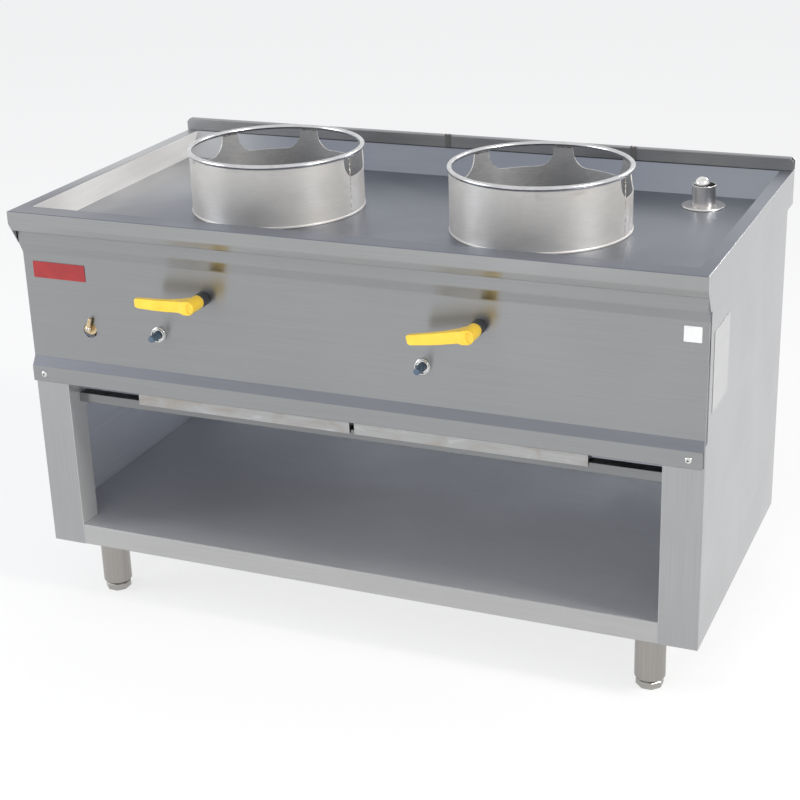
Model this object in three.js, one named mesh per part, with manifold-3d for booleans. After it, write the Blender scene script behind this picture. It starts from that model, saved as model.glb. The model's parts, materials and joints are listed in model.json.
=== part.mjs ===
// Two-burner gas wok range on an open cabinet, millimetres, +Z up, front towards -Y.
// Each part is drawn with y measured back from the front rim; the whole is then centred.
import * as THREE from "three";
import { mergeVertices } from "three/addons/utils/BufferGeometryUtils.js";
import Module from "manifold-3d";

const wasm = await Module();
wasm.setup();

// ---------- driving sizes ----------
const WIDTH = 1400; // over the side fascias
const DEPTH = 740; // front rim to the back of the upstand
const RIM_Z = 860; // rim above the floor
const FIT = 0.3; // gap kept between neighbouring pieces
const HALF = WIDTH / 2;
const SHEET = 1.5; // cabinet sheet
const PLATE = 2; // worktop sheet
const PUNCH = 100; // how far a hole cutter reaches past the sheet

// worktop
const RIM_FRONT = 47;
const RIM_SIDE = 27.4;
const BASIN_X = HALF - RIM_SIDE;
const FLOOR_Z = 808; // basin floor
const BASIN_REAR = DEPTH - 61; // where the floor meets the sloped rear wall
const UPSTAND_Y = DEPTH - 15; // where the rear wall meets the upstand
const LEDGE_Y = DEPTH - SHEET - FIT;
const LEDGE_DROP = 18;
const FASCIA_STEP_Z = 834; // the front fascia turns back below this
const FASCIA_LOW_Z = 818;
const FASCIA_BACK = 9.3;
const SIDE_FASCIA_LOW_Z = 788;
const SIDE_FASCIA_BACK = (FASCIA_BACK * (FASCIA_STEP_Z - SIDE_FASCIA_LOW_Z)) / (FASCIA_STEP_Z - FASCIA_LOW_Z);
const WELL_R = 115; // burner well through the floor
const WELL_COLLAR = 22;

// splashback
const UPSTAND_Z = 886.5;
const UPSTAND_CHAMFER = 8;
const UPSTAND_BACK_Z = 790;
const CLIP_X = [-50.4, 366];
const CLIP_WIDE = 14;

// front panel, from the top down
const PANEL_HALF = HALF - 3.7;
const PANEL_TOP_Y = 23.3;
const PANEL_FACE_Y = 33.5;
const PANEL_LIP_Y = 21.3;
const PANEL_TOP_LOW_Z = 789.6;
const PANEL_FACE_TOP_Z = 767.5;
const PANEL_FACE_LOW_Z = 547.4;
const PANEL_LIP_TOP_Z = 528.2;
const PANEL_LIP_LOW_Z = 495.2;
const PANEL_END_RETURN = 10;

// cabinet
const SIDE_X = HALF - 2.3;
const STILE_Y = 31;
const STILE_X = SIDE_X - 76.2;
const STILE_RETURN = 56;
const STILE_TOP_Z = 538;
const SIDE_FRONT_Y = 45; // side panel edge behind the front panel
const CABINET_REAR = DEPTH - 41;
const REAR_FLANGE = 26;
const BASE_Z = 128;
const SHELF_Z = 173;
const SHELF_EDGE_Z = 140;
const BACK_TOP_Z = 818;

// drip trays and their rails
const RAIL_Y = 66;
const RAIL_DEEP = 24;
const RAIL_TOP_Z = 462;
const RAIL_LOW_Z = 441;
const REAR_RAIL_Y = CABINET_REAR - 59;
const TRAY_IN = 5; // half the gap between the two trays
const TRAY_OUT = 475;
const TRAY_FRONT_Y = 62;
const TRAY_REAR_Y = CABINET_REAR - 37;
const TRAY_TOP_Z = 489;
const TRAY_HOOK_Z = 454;

// legs
const LEG_X = HALF - 107.4;
const LEG_Y = [96, DEPTH - 106];
const LEG_R = 30;
const LEG_WALL = 2;
const LEG_LOW_Z = 17;
const LEG_CHAMFER = 5;
const LEG_PLATE = 92;
const FOOT_ACROSS = 50;
const FOOT_HIGH = 16;
const STEM_R = 10;
const STEM_TOP_Z = 80;

// burners and rings
const BURNER_X = 284;
const BURNER_Y = 362;
const RING_R = 177.5;
const RING_WALL = 2;
const RING_BEAD = 1.6;
const RING_ROD_R = 5;
const RING_ROD_Z = 933;
const RING_SIDES = 40;
const RING_TURN = 93.5; // degrees from +X to the middle of the window group
const WINDOW_PITCH = 57.1;
const WINDOW_HALF = 67.2;
const WINDOW_FLAT = 36;
const WINDOW_LOW_Z = 886;
const WINDOW_SHOULDER_Z = 923;
const WINDOW_ROUND = 19;
const BOWL_R = 84;
const BOWL_TOP_Z = 815;
const CROWN_TOP_Z = 845;
const MIX_Z = 774;
const MIX_R = 19;
const MIX_MOUTH_Y = 175;

// gas train
const PIPE_R = 13.45;
const MANIFOLD_Y = 130;
const MANIFOLD_Z = 615;
const INLET_X = HALF - 60;
const INLET_END_Y = DEPTH - 8;
const LEVER_X = [-289, 277];
const LEVER_Z = [711, 716];
const LEVER_TILT = [1.5, 9.8]; // degrees below level, as they stand
const HUB_R = 14;
const HUB_BACK_Y = 9.5;
const HUB_FRONT_Y = -35;
const ARM_LONG = 123;
const ARM_FACE_Y = -31;
const STEM_ROD_R = 5;
const STEM_IN = 20; // how far the stem enters the hub
const COLLAR_R = 14;
const IGNITER_X = [-395, 165.5];
const IGNITER_Z = 625.5;
const BEZEL_R = 15;
const SLEEVE_R = 8.2;
const BUTTON_R = 6.6;
const COCK_HOLE = [140.5 - PANEL_HALF, 615];
const COCK_HOLE_R = 15.5;
const COCK_X = COCK_HOLE[0] - 0.7;
const COCK_Z = COCK_HOLE[1] + 5.5;
const COCK_TILT = 16.5;
const PILOT_DROP_Y = 56;
const PILOT_Z = 575;
const PILOT_OFF = [-68, -68]; // pilot from the burner's centre, x and y
const SPARK_OFF = [-82, -45];
const SPARK_TOP_Z = 826;

// overflow
const DRAIN_X = HALF - 153;
const DRAIN_Y = BASIN_REAR - 76;
const DRAIN_FLANGE_R = 44;
const DRAIN_HOLE_R = 28.4;
const DRAIN_TAIL_Z = FLOOR_Z - 72;
const STANDPIPE_R = 24.15;
const STANDPIPE_TOP_Z = 853;
const STANDPIPE_LOW_Z = FLOOR_Z - 30;
const BALL_R = 15.5;
const BALL_OFF = -4.3;

// ---------- materials ----------
const metal = (color, roughness) => new THREE.MeshStandardMaterial({ color, roughness, metalness: 1 });
const dull = (color, roughness) => new THREE.MeshStandardMaterial({ color, roughness, metalness: 0 });
const steel = metal(0xb4b4b2, 0.38);
const polished = metal(0xd8d8d6, 0.15);
const galvanised = metal(0x9a9c9c, 0.55);
const castIron = metal(0x2b2a29, 0.8);
const brass = metal(0xb08a45, 0.35);
const yellow = dull(0xf2b21c, 0.35);
const black = dull(0x17181b, 0.5);
const slate = dull(0x33404f, 0.45);
const ceramic = dull(0xe9e5dc, 0.4);

// ---------- solids ----------
// A closed three.js geometry as a solid with its faces outwards.
function solid(geometry) {
  const bare = geometry.index ? geometry.clone() : geometry;
  for (const name of Object.keys(bare.attributes)) if (name !== "position") bare.deleteAttribute(name);
  const merged = mergeVertices(bare, 1e-4);
  const make = (triVerts) =>
    new wasm.Manifold(
      new wasm.Mesh({ numProp: 3, vertProperties: new Float32Array(merged.attributes.position.array), triVerts }),
    );
  const tris = new Uint32Array(merged.index.array);
  const made = make(tris);
  if (made.volume() >= 0) return made;
  for (let i = 0; i < tris.length; i += 3) [tris[i + 1], tris[i + 2]] = [tris[i + 2], tris[i + 1]];
  return make(tris);
}
const join = (...all) => all.flat().reduce((a, b) => a.add(b));
const cut = (body, ...tools) => tools.flat().reduce((a, b) => a.subtract(b), body);

function box(x0, x1, y0, y1, z0, z1) {
  const g = new THREE.BoxGeometry(x1 - x0, y1 - y0, z1 - z0);
  return solid(g.translate((x0 + x1) / 2, (y0 + y1) / 2, (z0 + z1) / 2));
}
const outline = (points) => new THREE.Shape(points.map(([a, b]) => new THREE.Vector2(a, b)));
function extrude(shape, depth, curveSegments = 8) {
  return new THREE.ExtrudeGeometry(shape, { depth, bevelEnabled: false, curveSegments });
}
const basis = (x, y, z) =>
  new THREE.Matrix4().makeBasis(new THREE.Vector3(...x), new THREE.Vector3(...y), new THREE.Vector3(...z));
// outline in (y, z), swept along x
function alongX(points, x0, x1) {
  const g = extrude(outline(points), x1 - x0).applyMatrix4(basis([0, 1, 0], [0, 0, 1], [1, 0, 0]));
  return solid(g.translate(x0, 0, 0));
}
// outline (or a ready shape) in (x, z), swept along y
function alongY(points, y0, y1, curveSegments) {
  const shape = points instanceof THREE.Shape ? points : outline(points);
  const g = extrude(shape, y1 - y0, curveSegments).applyMatrix4(basis([1, 0, 0], [0, 0, 1], [0, -1, 0]));
  return solid(g.translate(0, y1, 0));
}
// outline (or a ready shape) in (x, y), swept along z
function alongZ(points, z0, z1, curveSegments) {
  const shape = points instanceof THREE.Shape ? points : outline(points);
  return solid(extrude(shape, z1 - z0, curveSegments).translate(0, 0, z0));
}
// profile of [radius, height] pairs turned about the z axis
function turned(profile, sides = 32) {
  const g = new THREE.LatheGeometry(profile.map(([r, h]) => new THREE.Vector2(r, h)), sides);
  return solid(g.rotateX(Math.PI / 2));
}
// the same, with the axis along -Y: height runs towards the front
const turnedFront = (profile, sides) => turned(profile, sides).rotate([90, 0, 0]);
const rod = (r, z0, z1, sides = 24) => turned([[0, z0], [r, z0], [r, z1], [0, z1]], sides);
const rodFront = (r, y0, y1, sides) => rod(r, -y1, -y0, sides).rotate([90, 0, 0]);

// A strip of sheet: the polyline is one face, and the thickness lies to its left.
function folded(path, thick) {
  const side = path.map(([a, b], i) => {
    const dirs = [];
    if (i > 0) dirs.push(new THREE.Vector2(a - path[i - 1][0], b - path[i - 1][1]).normalize());
    if (i < path.length - 1) dirs.push(new THREE.Vector2(path[i + 1][0] - a, path[i + 1][1] - b).normalize());
    const n = new THREE.Vector2();
    for (const d of dirs) n.add(new THREE.Vector2(-d.y, d.x));
    n.normalize();
    const d = dirs[0];
    n.multiplyScalar(thick / (n.x * -d.y + n.y * d.x));
    return [a + n.x, b + n.y];
  });
  return [...path, ...side.reverse()];
}

// A pipe's centre line: straight runs joined by round bends. Steps fall on its stations.
class PipeLine extends THREE.Curve {
  constructor(corners, bend, stepsPerBend = 4) {
    super();
    const points = corners.map((c) => new THREE.Vector3(...c));
    this.stations = [points[0]];
    for (let i = 1; i < points.length - 1; i++) {
      const before = points[i - 1].clone().sub(points[i]).normalize();
      const after = points[i + 1].clone().sub(points[i]).normalize();
      const half = before.angleTo(after) / 2;
      const back = bend / Math.tan(half);
      const centre = before.clone().add(after).normalize().multiplyScalar(bend / Math.sin(half)).add(points[i]);
      const from = points[i].clone().addScaledVector(before, back).sub(centre);
      const to = points[i].clone().addScaledVector(after, back).sub(centre);
      const axis = from.clone().cross(to).normalize();
      const sweep = from.angleTo(to);
      for (let k = 0; k <= stepsPerBend; k++)
        this.stations.push(from.clone().applyAxisAngle(axis, (sweep * k) / stepsPerBend).add(centre));
    }
    this.stations.push(points.at(-1));
  }
  getPoint(t) {
    const s = t * (this.stations.length - 1);
    const i = Math.min(Math.floor(s), this.stations.length - 2);
    return this.stations[i].clone().lerp(this.stations[i + 1], s - i);
  }
  getUtoTmapping(u) {
    return u;
  }
}
function pipe(corners, r, bend, sides = 12) {
  const line = new PipeLine(corners, bend);
  const round = outline(
    [...Array(sides).keys()].map((i) => [
      r * Math.cos((2 * Math.PI * i) / sides),
      r * Math.sin((2 * Math.PI * i) / sides),
    ]),
  );
  const steps = line.stations.length - 1;
  return solid(new THREE.ExtrudeGeometry(round, { steps, bevelEnabled: false, extrudePath: line }));
}

// ---------- the assembly ----------
const range = new THREE.Group();
function place(name, body, material) {
  const { vertProperties, triVerts, numProp } = body.asOriginal().simplify(0.002).getMesh();
  const g = new THREE.BufferGeometry();
  const xyz = new Float32Array((vertProperties.length / numProp) * 3);
  for (let i = 0; i < xyz.length / 3; i++) xyz.set(vertProperties.slice(i * numProp, i * numProp + 3), i * 3);
  g.setAttribute("position", new THREE.BufferAttribute(xyz, 3)).setIndex(new THREE.BufferAttribute(triVerts, 1));
  g.computeVertexNormals();
  const mesh = new THREE.Mesh(g, material);
  mesh.name = name;
  range.add(mesh);
}
const HANDS = [["left", -1], ["right", 1]];
const frontAxis = (x, z) => (body) => body.translate([x, 0, z]);

// Pressed and welded top: rim, sunken basin with a sloped rear wall, fascias, burner wells.
function worktop() {
  const wall = PLATE;
  const tub = alongX(
    [
      [RIM_FRONT - wall, FLOOR_Z - wall],
      [BASIN_REAR + wall, FLOOR_Z - wall],
      [UPSTAND_Y + wall, RIM_Z],
      [RIM_FRONT - wall, RIM_Z],
    ],
    -BASIN_X - wall,
    BASIN_X + wall,
  );
  const rim = box(-HALF, HALF, 0, LEDGE_Y, RIM_Z - wall, RIM_Z);
  const slope = (UPSTAND_Y - BASIN_REAR) / (RIM_Z - FLOOR_Z);
  const basin = alongX(
    [
      [RIM_FRONT, FLOOR_Z],
      [BASIN_REAR, FLOOR_Z],
      [BASIN_REAR + slope * (RIM_Z - FLOOR_Z + 10), RIM_Z + 10],
      [RIM_FRONT, RIM_Z + 10],
    ],
    -BASIN_X,
    BASIN_X,
  );
  const fascia = alongX(
    folded(
      [[0, RIM_Z], [0, FASCIA_STEP_Z], [FASCIA_BACK, FASCIA_LOW_Z], [PANEL_TOP_Y - FIT, FASCIA_LOW_Z]],
      wall,
    ),
    -HALF,
    HALF,
  );
  const side = [
    [0, RIM_Z],
    [0, FASCIA_STEP_Z],
    [SIDE_FASCIA_BACK, SIDE_FASCIA_LOW_Z],
    [DEPTH, SIDE_FASCIA_LOW_Z],
    [DEPTH, RIM_Z],
  ];
  const cheeks = [alongX(side, -HALF, -HALF + wall), alongX(side, HALF - wall, HALF)];
  const ledge = box(-HALF, HALF, LEDGE_Y - wall, LEDGE_Y, RIM_Z - LEDGE_DROP, RIM_Z);
  const shell = cut(join(tub, rim, fascia, cheeks, ledge), basin);
  const collars = HANDS.map(([, s]) =>
    rod(WELL_R + wall, FLOOR_Z - wall, FLOOR_Z + WELL_COLLAR, 32).translate([s * BURNER_X, BURNER_Y, 0]),
  );
  const wells = HANDS.map(([, s]) => rod(WELL_R, FLOOR_Z - PUNCH, FLOOR_Z + PUNCH, 32).translate([s * BURNER_X, BURNER_Y, 0]));
  const drain = rod(DRAIN_HOLE_R, FLOOR_Z - PUNCH, FLOOR_Z + PUNCH, 24).translate([DRAIN_X, DRAIN_Y, 0]);
  place("worktop", cut(join(shell, collars), wells, drain), steel);
}

// Folded upstand with clipped corners, standing on the ledge and hanging down behind it.
function splashback() {
  const section = alongX(
    folded(
      [
        [UPSTAND_Y, RIM_Z + FIT],
        [UPSTAND_Y, UPSTAND_Z],
        [DEPTH, UPSTAND_Z],
        [DEPTH, RIM_Z - LEDGE_DROP],
      ].reverse(),
      SHEET,
    ),
    -HALF,
    HALF,
  );
  const reach = HALF - PLATE - FIT;
  const tail = box(-reach, reach, DEPTH - SHEET, DEPTH, UPSTAND_BACK_Z, RIM_Z - LEDGE_DROP);
  const sideClear = HANDS.map(([, s]) =>
    box(Math.min(s * reach, s * (HALF + 1)), Math.max(s * reach, s * (HALF + 1)), 0, DEPTH + 1, 700, RIM_Z + FIT),
  );
  const corner = (s) =>
    alongY(
      [
        [s * (HALF - UPSTAND_CHAMFER), UPSTAND_Z + 1],
        [s * (HALF + 1), UPSTAND_Z + 1],
        [s * (HALF + 1), UPSTAND_Z - UPSTAND_CHAMFER],
      ],
      0,
      DEPTH + 1,
    );
  place("splashback", cut(join(section, tail), sideClear, corner(-1), corner(1)), steel);
}

// A thin strip down the upstand's face, hooked over its top edge by two lugs.
function splashClips() {
  CLIP_X.forEach((x, i) => {
    const w = CLIP_WIDE / 2;
    const y = UPSTAND_Y - FIT;
    const strip = box(x - w, x + w, y - 1, y, RIM_Z + 2, UPSTAND_Z + FIT + 1);
    const hook = box(x - w, x + w, y - 1, y + 9, UPSTAND_Z + FIT, UPSTAND_Z + FIT + 1);
    const lugs = [-1, 1].map((s) =>
      rodFront(1.8, y - 1, y + 3, 10).translate([x + s * (w - 3), 0, UPSTAND_Z + FIT + 1.8]),
    );
    place(["splash_clip_left", "splash_clip_right"][i], join(strip, hook, lugs), galvanised);
  });
}

// Front panel folded from one sheet, with the holes for the controls.
function frontPanel() {
  const path = [
    [SIDE_FRONT_Y - 2, RIM_Z - PLATE - FIT],
    [PANEL_TOP_Y, RIM_Z - PLATE - FIT],
    [PANEL_TOP_Y, PANEL_TOP_LOW_Z],
    [PANEL_FACE_Y, PANEL_FACE_TOP_Z],
    [PANEL_FACE_Y, PANEL_FACE_LOW_Z],
    [PANEL_LIP_Y, PANEL_LIP_TOP_Z],
    [PANEL_LIP_Y, PANEL_LIP_LOW_Z],
    [STILE_Y - FIT, PANEL_LIP_LOW_Z],
  ];
  const sheet = alongX(folded(path, SHEET), -PANEL_HALF, PANEL_HALF);
  const ends = HANDS.map(([, s]) => {
    const x = s * PANEL_HALF;
    const inner = x - s * SHEET;
    const y1 = PANEL_FACE_Y + PANEL_END_RETURN;
    return box(Math.min(x, inner), Math.max(x, inner), PANEL_FACE_Y, y1, PANEL_FACE_LOW_Z, PANEL_FACE_TOP_Z);
  });
  const hole = (x, z, r) => rodFront(r, 0, 60, 14).translate([x, 0, z]);
  const holes = [
    ...LEVER_X.map((x, i) => hole(x, LEVER_Z[i], 10)),
    ...IGNITER_X.map((x) => hole(x, IGNITER_Z, 9)),
    hole(...COCK_HOLE, COCK_HOLE_R),
  ];
  place("front_panel", cut(join(sheet, ends), holes), steel);
}

// Side panel bent round at the front into the stile and its return, and at the back into a flange.
function sidePanels() {
  for (const [hand, s] of HANDS) {
    const plan = (points) => folded(points.map(([x, y]) => [s * x, y]), s * SHEET);
    const low = [
      [STILE_X, STILE_Y + STILE_RETURN],
      [STILE_X, STILE_Y],
      [SIDE_X, STILE_Y],
      [SIDE_X, CABINET_REAR],
      [SIDE_X - REAR_FLANGE, CABINET_REAR],
    ];
    const high = [[SIDE_X, SIDE_FRONT_Y], [SIDE_X, CABINET_REAR], [SIDE_X - REAR_FLANGE, CABINET_REAR]];
    const body = join(
      alongZ(plan(low), BASE_Z, STILE_TOP_Z),
      alongZ(plan(high), STILE_TOP_Z, RIM_Z - PLATE - FIT),
    );
    const span = (a, b) => [Math.min(s * a, s * b), Math.max(s * a, s * b)];
    const shelfRoom = box(...span(STILE_X - 1, SIDE_X - SHEET), STILE_Y + SHEET, CABINET_REAR - 9, BASE_Z - 1, SHELF_Z + FIT);
    const basinRoom = box(...span(STILE_X - 20, SIDE_X - SHEET), 0, DEPTH, FLOOR_Z - 10, RIM_Z);
    place("side_panel_" + hand, cut(body, shelfRoom, basinRoom), steel);
  }
}

function backPanel() {
  const x = SIDE_X - SHEET - FIT;
  const y1 = CABINET_REAR - SHEET - FIT;
  const sheet = box(-x, x, y1 - SHEET, y1, SHELF_Z + FIT, BACK_TOP_Z);
  const top = box(-x + 30, x - 30, y1 - 14, y1, BACK_TOP_Z - SHEET - 30, BACK_TOP_Z - 30);
  const inlet = rodFront(PIPE_R + 2.5, CABINET_REAR - PUNCH, CABINET_REAR + PUNCH, 20).translate([INLET_X, 0, MANIFOLD_Z]);
  place("back_panel", cut(join(sheet, top), inlet), galvanised);
}

// Floor of the open bay: a sheet turned down all round, with a deeper lip between the stiles.
function bottomShelf() {
  const x = SIDE_X - SHEET - FIT;
  const y0 = STILE_Y + SHEET + FIT;
  const y1 = CABINET_REAR - SHEET - FIT;
  const floor = box(-x, x, y0, y1, SHELF_Z - SHEET, SHELF_Z);
  const lip = alongX(
    folded(
      [[60, SHELF_Z], [STILE_Y, SHELF_Z], [STILE_Y, BASE_Z], [STILE_Y + 18, BASE_Z]],
      SHEET,
    ),
    -STILE_X + FIT,
    STILE_X - FIT,
  );
  const rear = box(-x, x, y1 - SHEET, y1, SHELF_EDGE_Z, SHELF_Z);
  const sides = HANDS.map(([, s]) =>
    box(Math.min(s * x, s * (x - SHEET)), Math.max(s * x, s * (x - SHEET)), y0 + 30, y1, SHELF_EDGE_Z, SHELF_Z),
  );
  place("bottom_shelf", join(floor, lip, rear, sides), steel);
}

// Folded cross rails that carry the trays, one inside the front opening and one at the back.
function trayRails() {
  const frontHalf = STILE_X - SHEET - FIT;
  const y = RAIL_Y;
  const section = [[y + RAIL_DEEP, RAIL_TOP_Z], [y, RAIL_TOP_Z], [y, RAIL_LOW_Z], [y + 12, RAIL_LOW_Z]];
  place("tray_rail_front", alongX(folded(section, SHEET), -frontHalf, frontHalf), steel);
  const rearHalf = SIDE_X - SHEET - FIT;
  const rear = join(
    box(-rearHalf, rearHalf, REAR_RAIL_Y, REAR_RAIL_Y + RAIL_DEEP, RAIL_TOP_Z - SHEET, RAIL_TOP_Z),
    box(-rearHalf, rearHalf, REAR_RAIL_Y, REAR_RAIL_Y + SHEET, RAIL_LOW_Z, RAIL_TOP_Z),
  );
  place("tray_rail_rear", rear, galvanised);
}

// Shallow pan whose front is carried down over the rail as a stop and a finger pull.
function dripTrays() {
  for (const [hand, s] of HANDS) {
    const x0 = Math.min(s * TRAY_IN, s * TRAY_OUT);
    const x1 = Math.max(s * TRAY_IN, s * TRAY_OUT);
    const low = RAIL_TOP_Z + FIT;
    const front = TRAY_FRONT_Y + SHEET;
    const body = box(x0 + 1, x1 - 1, front, TRAY_REAR_Y, low, TRAY_TOP_Z);
    const hollow = box(x0 + 1 + SHEET, x1 - 1 - SHEET, front, TRAY_REAR_Y - SHEET, low + SHEET, TRAY_TOP_Z + 1);
    const face = box(x0, x1, TRAY_FRONT_Y, front, TRAY_HOOK_Z, TRAY_TOP_Z);
    const hem = box(x0 + 1, x1 - 1, TRAY_FRONT_Y, front + 7, TRAY_TOP_Z - SHEET, TRAY_TOP_Z);
    place("drip_tray_" + hand, join(cut(body, hollow), face, hem), steel);
  }
}

// Leg: tube with a plate under the shelf and a bottom drawn in round the adjusting stem.
function legsAndFeet() {
  for (const [row, y] of [["front", LEG_Y[0]], ["rear", LEG_Y[1]]])
    for (const [hand, s] of HANDS) {
      const at = [s * LEG_X, y, 0];
      const top = SHELF_Z - SHEET - FIT;
      const inner = LEG_R - LEG_WALL;
      const tube = turned(
        [
          [STEM_R + FIT, LEG_LOW_Z],
          [LEG_R - LEG_CHAMFER, LEG_LOW_Z],
          [LEG_R, LEG_LOW_Z + LEG_CHAMFER],
          [LEG_R, top - 1],
          [inner, top - 1],
          [inner, LEG_LOW_Z + LEG_CHAMFER + LEG_WALL],
          [STEM_R + FIT, LEG_LOW_Z + LEG_CHAMFER + LEG_WALL],
          [STEM_R + FIT, LEG_LOW_Z],
        ],
        20,
      );
      const half = LEG_PLATE / 2;
      const plate = cut(box(-half, half, -half, half, top - 3, top), rod(inner, top - 9, top + 9, 20));
      place("leg_" + row + "_" + hand, join(tube, plate).translate(at), galvanised);
      const wide = FOOT_ACROSS / 2 / Math.cos(Math.PI / 8);
      const nut = turned([[0, 0], [wide - 3, 0], [wide, 3], [wide, FOOT_HIGH - 2], [wide - 2, FOOT_HIGH], [0, FOOT_HIGH]], 8);
      const stem = rod(STEM_R, FOOT_HIGH - 1, STEM_TOP_Z, 12);
      place("foot_" + row + "_" + hand, join(nut.rotate([0, 0, 22.5]), stem).translate(at), steel);
    }
}

// Ring that cradles the wok: rolled sheet, rod rim, and windows round the back with
// a curved post left between each two.
function wokRings() {
  const inner = RING_R - RING_WALL;
  const low = FLOOR_Z + FIT;
  const wall = turned(
    [
      [inner, low],
      [RING_R + RING_BEAD, low],
      [RING_R + RING_BEAD, low + 3],
      [RING_R, low + 4.6],
      [RING_R, RING_ROD_Z],
      [inner, RING_ROD_Z],
      [inner, low],
    ],
    RING_SIDES,
  );
  const opening = new THREE.Shape();
  const roundZ = WINDOW_LOW_Z + WINDOW_ROUND;
  opening.moveTo(-WINDOW_HALF, RING_ROD_Z + 12);
  opening.lineTo(-WINDOW_HALF, WINDOW_SHOULDER_Z);
  opening.bezierCurveTo(-WINDOW_HALF, roundZ, -WINDOW_FLAT - WINDOW_ROUND, WINDOW_LOW_Z, -WINDOW_FLAT, WINDOW_LOW_Z);
  opening.lineTo(WINDOW_FLAT, WINDOW_LOW_Z);
  opening.bezierCurveTo(WINDOW_FLAT + WINDOW_ROUND, WINDOW_LOW_Z, WINDOW_HALF, roundZ, WINDOW_HALF, WINDOW_SHOULDER_Z);
  opening.lineTo(WINDOW_HALF, RING_ROD_Z + 12);
  const punch = alongY(opening, -RING_R - 20, -inner + 20, 5);
  const windows = [-1.5, -0.5, 0.5, 1.5].map((k) => punch.rotate([0, 0, RING_TURN + 90 + k * WINDOW_PITCH]));
  const rim = solid(new THREE.TorusGeometry(inner + RING_WALL / 2 - 0.5, RING_ROD_R, 6, RING_SIDES).translate(0, 0, RING_ROD_Z));
  const ring = join(cut(wall, windows), rim);
  for (const [hand, s] of HANDS) place("wok_ring_" + hand, ring.translate([s * BURNER_X, BURNER_Y, 0]), steel);
}

// Cast burner: a bowl with a flanged stub, the mixing tube that butts against it, a slotted
// crown that lifts off its top, and the strap that hangs it below the basin floor.
function burners() {
  const floor = BOWL_TOP_Z - 58;
  const bowl = turned(
    [
      [0, floor],
      [40, floor],
      [BOWL_R - 16, floor + 14],
      [BOWL_R, floor + 34],
      [BOWL_R, BOWL_TOP_Z],
      [BOWL_R - 7, BOWL_TOP_Z],
      [BOWL_R - 7, floor + 36],
      [BOWL_R - 22, floor + 20],
      [36, floor + 8],
      [0, floor + 8],
    ],
    20,
  );
  const reach = BURNER_Y - MIX_MOUTH_Y;
  const flange = BOWL_R + 5;
  const stub = turnedFront([[0, 40], [MIX_R, 40], [MIX_R, flange], [0, flange]], 12).translate([0, 0, MIX_Z]);
  const inlet = rodFront(MIX_R - 4, -flange - 1, -30, 12).translate([0, 0, MIX_Z]);
  const body = cut(join(bowl, stub), inlet);
  const throat = reach - 34;
  const outer = [[0, flange + FIT], [MIX_R + 3, flange + FIT], [MIX_R + 3, flange + 6], [MIX_R, flange + 6]];
  const tube = turnedFront([...outer, [MIX_R - 3, throat], [MIX_R + 8, reach], [0, reach]], 12);
  const bore = turnedFront(
    [[0, flange - 1], [MIX_R - 4, flange - 1], [MIX_R - 7, throat], [MIX_R + 4, reach + 1], [0, reach + 1]],
    12,
  );
  const mixer = cut(tube, bore).translate([0, 0, MIX_Z]);
  const crownLow = BOWL_TOP_Z + FIT;
  const crown = turned(
    [
      [22, crownLow],
      [BOWL_R, crownLow],
      [BOWL_R, crownLow + 6],
      [BOWL_R - 6, crownLow + 18],
      [BOWL_R - 20, CROWN_TOP_Z],
      [34, CROWN_TOP_Z - 8],
      [22, CROWN_TOP_Z - 8],
      [22, crownLow],
    ],
    28,
  );
  const ports = [...Array(14).keys()].map((i) =>
    box(BOWL_R - 24, BOWL_R + 6, -2.8, 2.8, crownLow + 10, CROWN_TOP_Z + 5).rotate([0, 0, (i * 360) / 14]),
  );
  const strapTop = floor - FIT;
  const top = FLOOR_Z - PLATE - FIT;
  const strap = alongY(
    folded([[158, top], [128, top], [128, strapTop], [-128, strapTop], [-128, top], [-158, top]], 3),
    -20,
    20,
  ).subtract(rod(14, 700, 760, 16));
  for (const [hand, s] of HANDS) {
    const at = (b) => b.translate([s * BURNER_X, BURNER_Y, 0]);
    place("burner_body_" + hand, at(body), castIron);
    place("mixing_tube_" + hand, at(mixer), castIron);
    place("burner_crown_" + hand, at(cut(crown, ports)), castIron);
    place("burner_strap_" + hand, at(strap), galvanised);
  }
}

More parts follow.
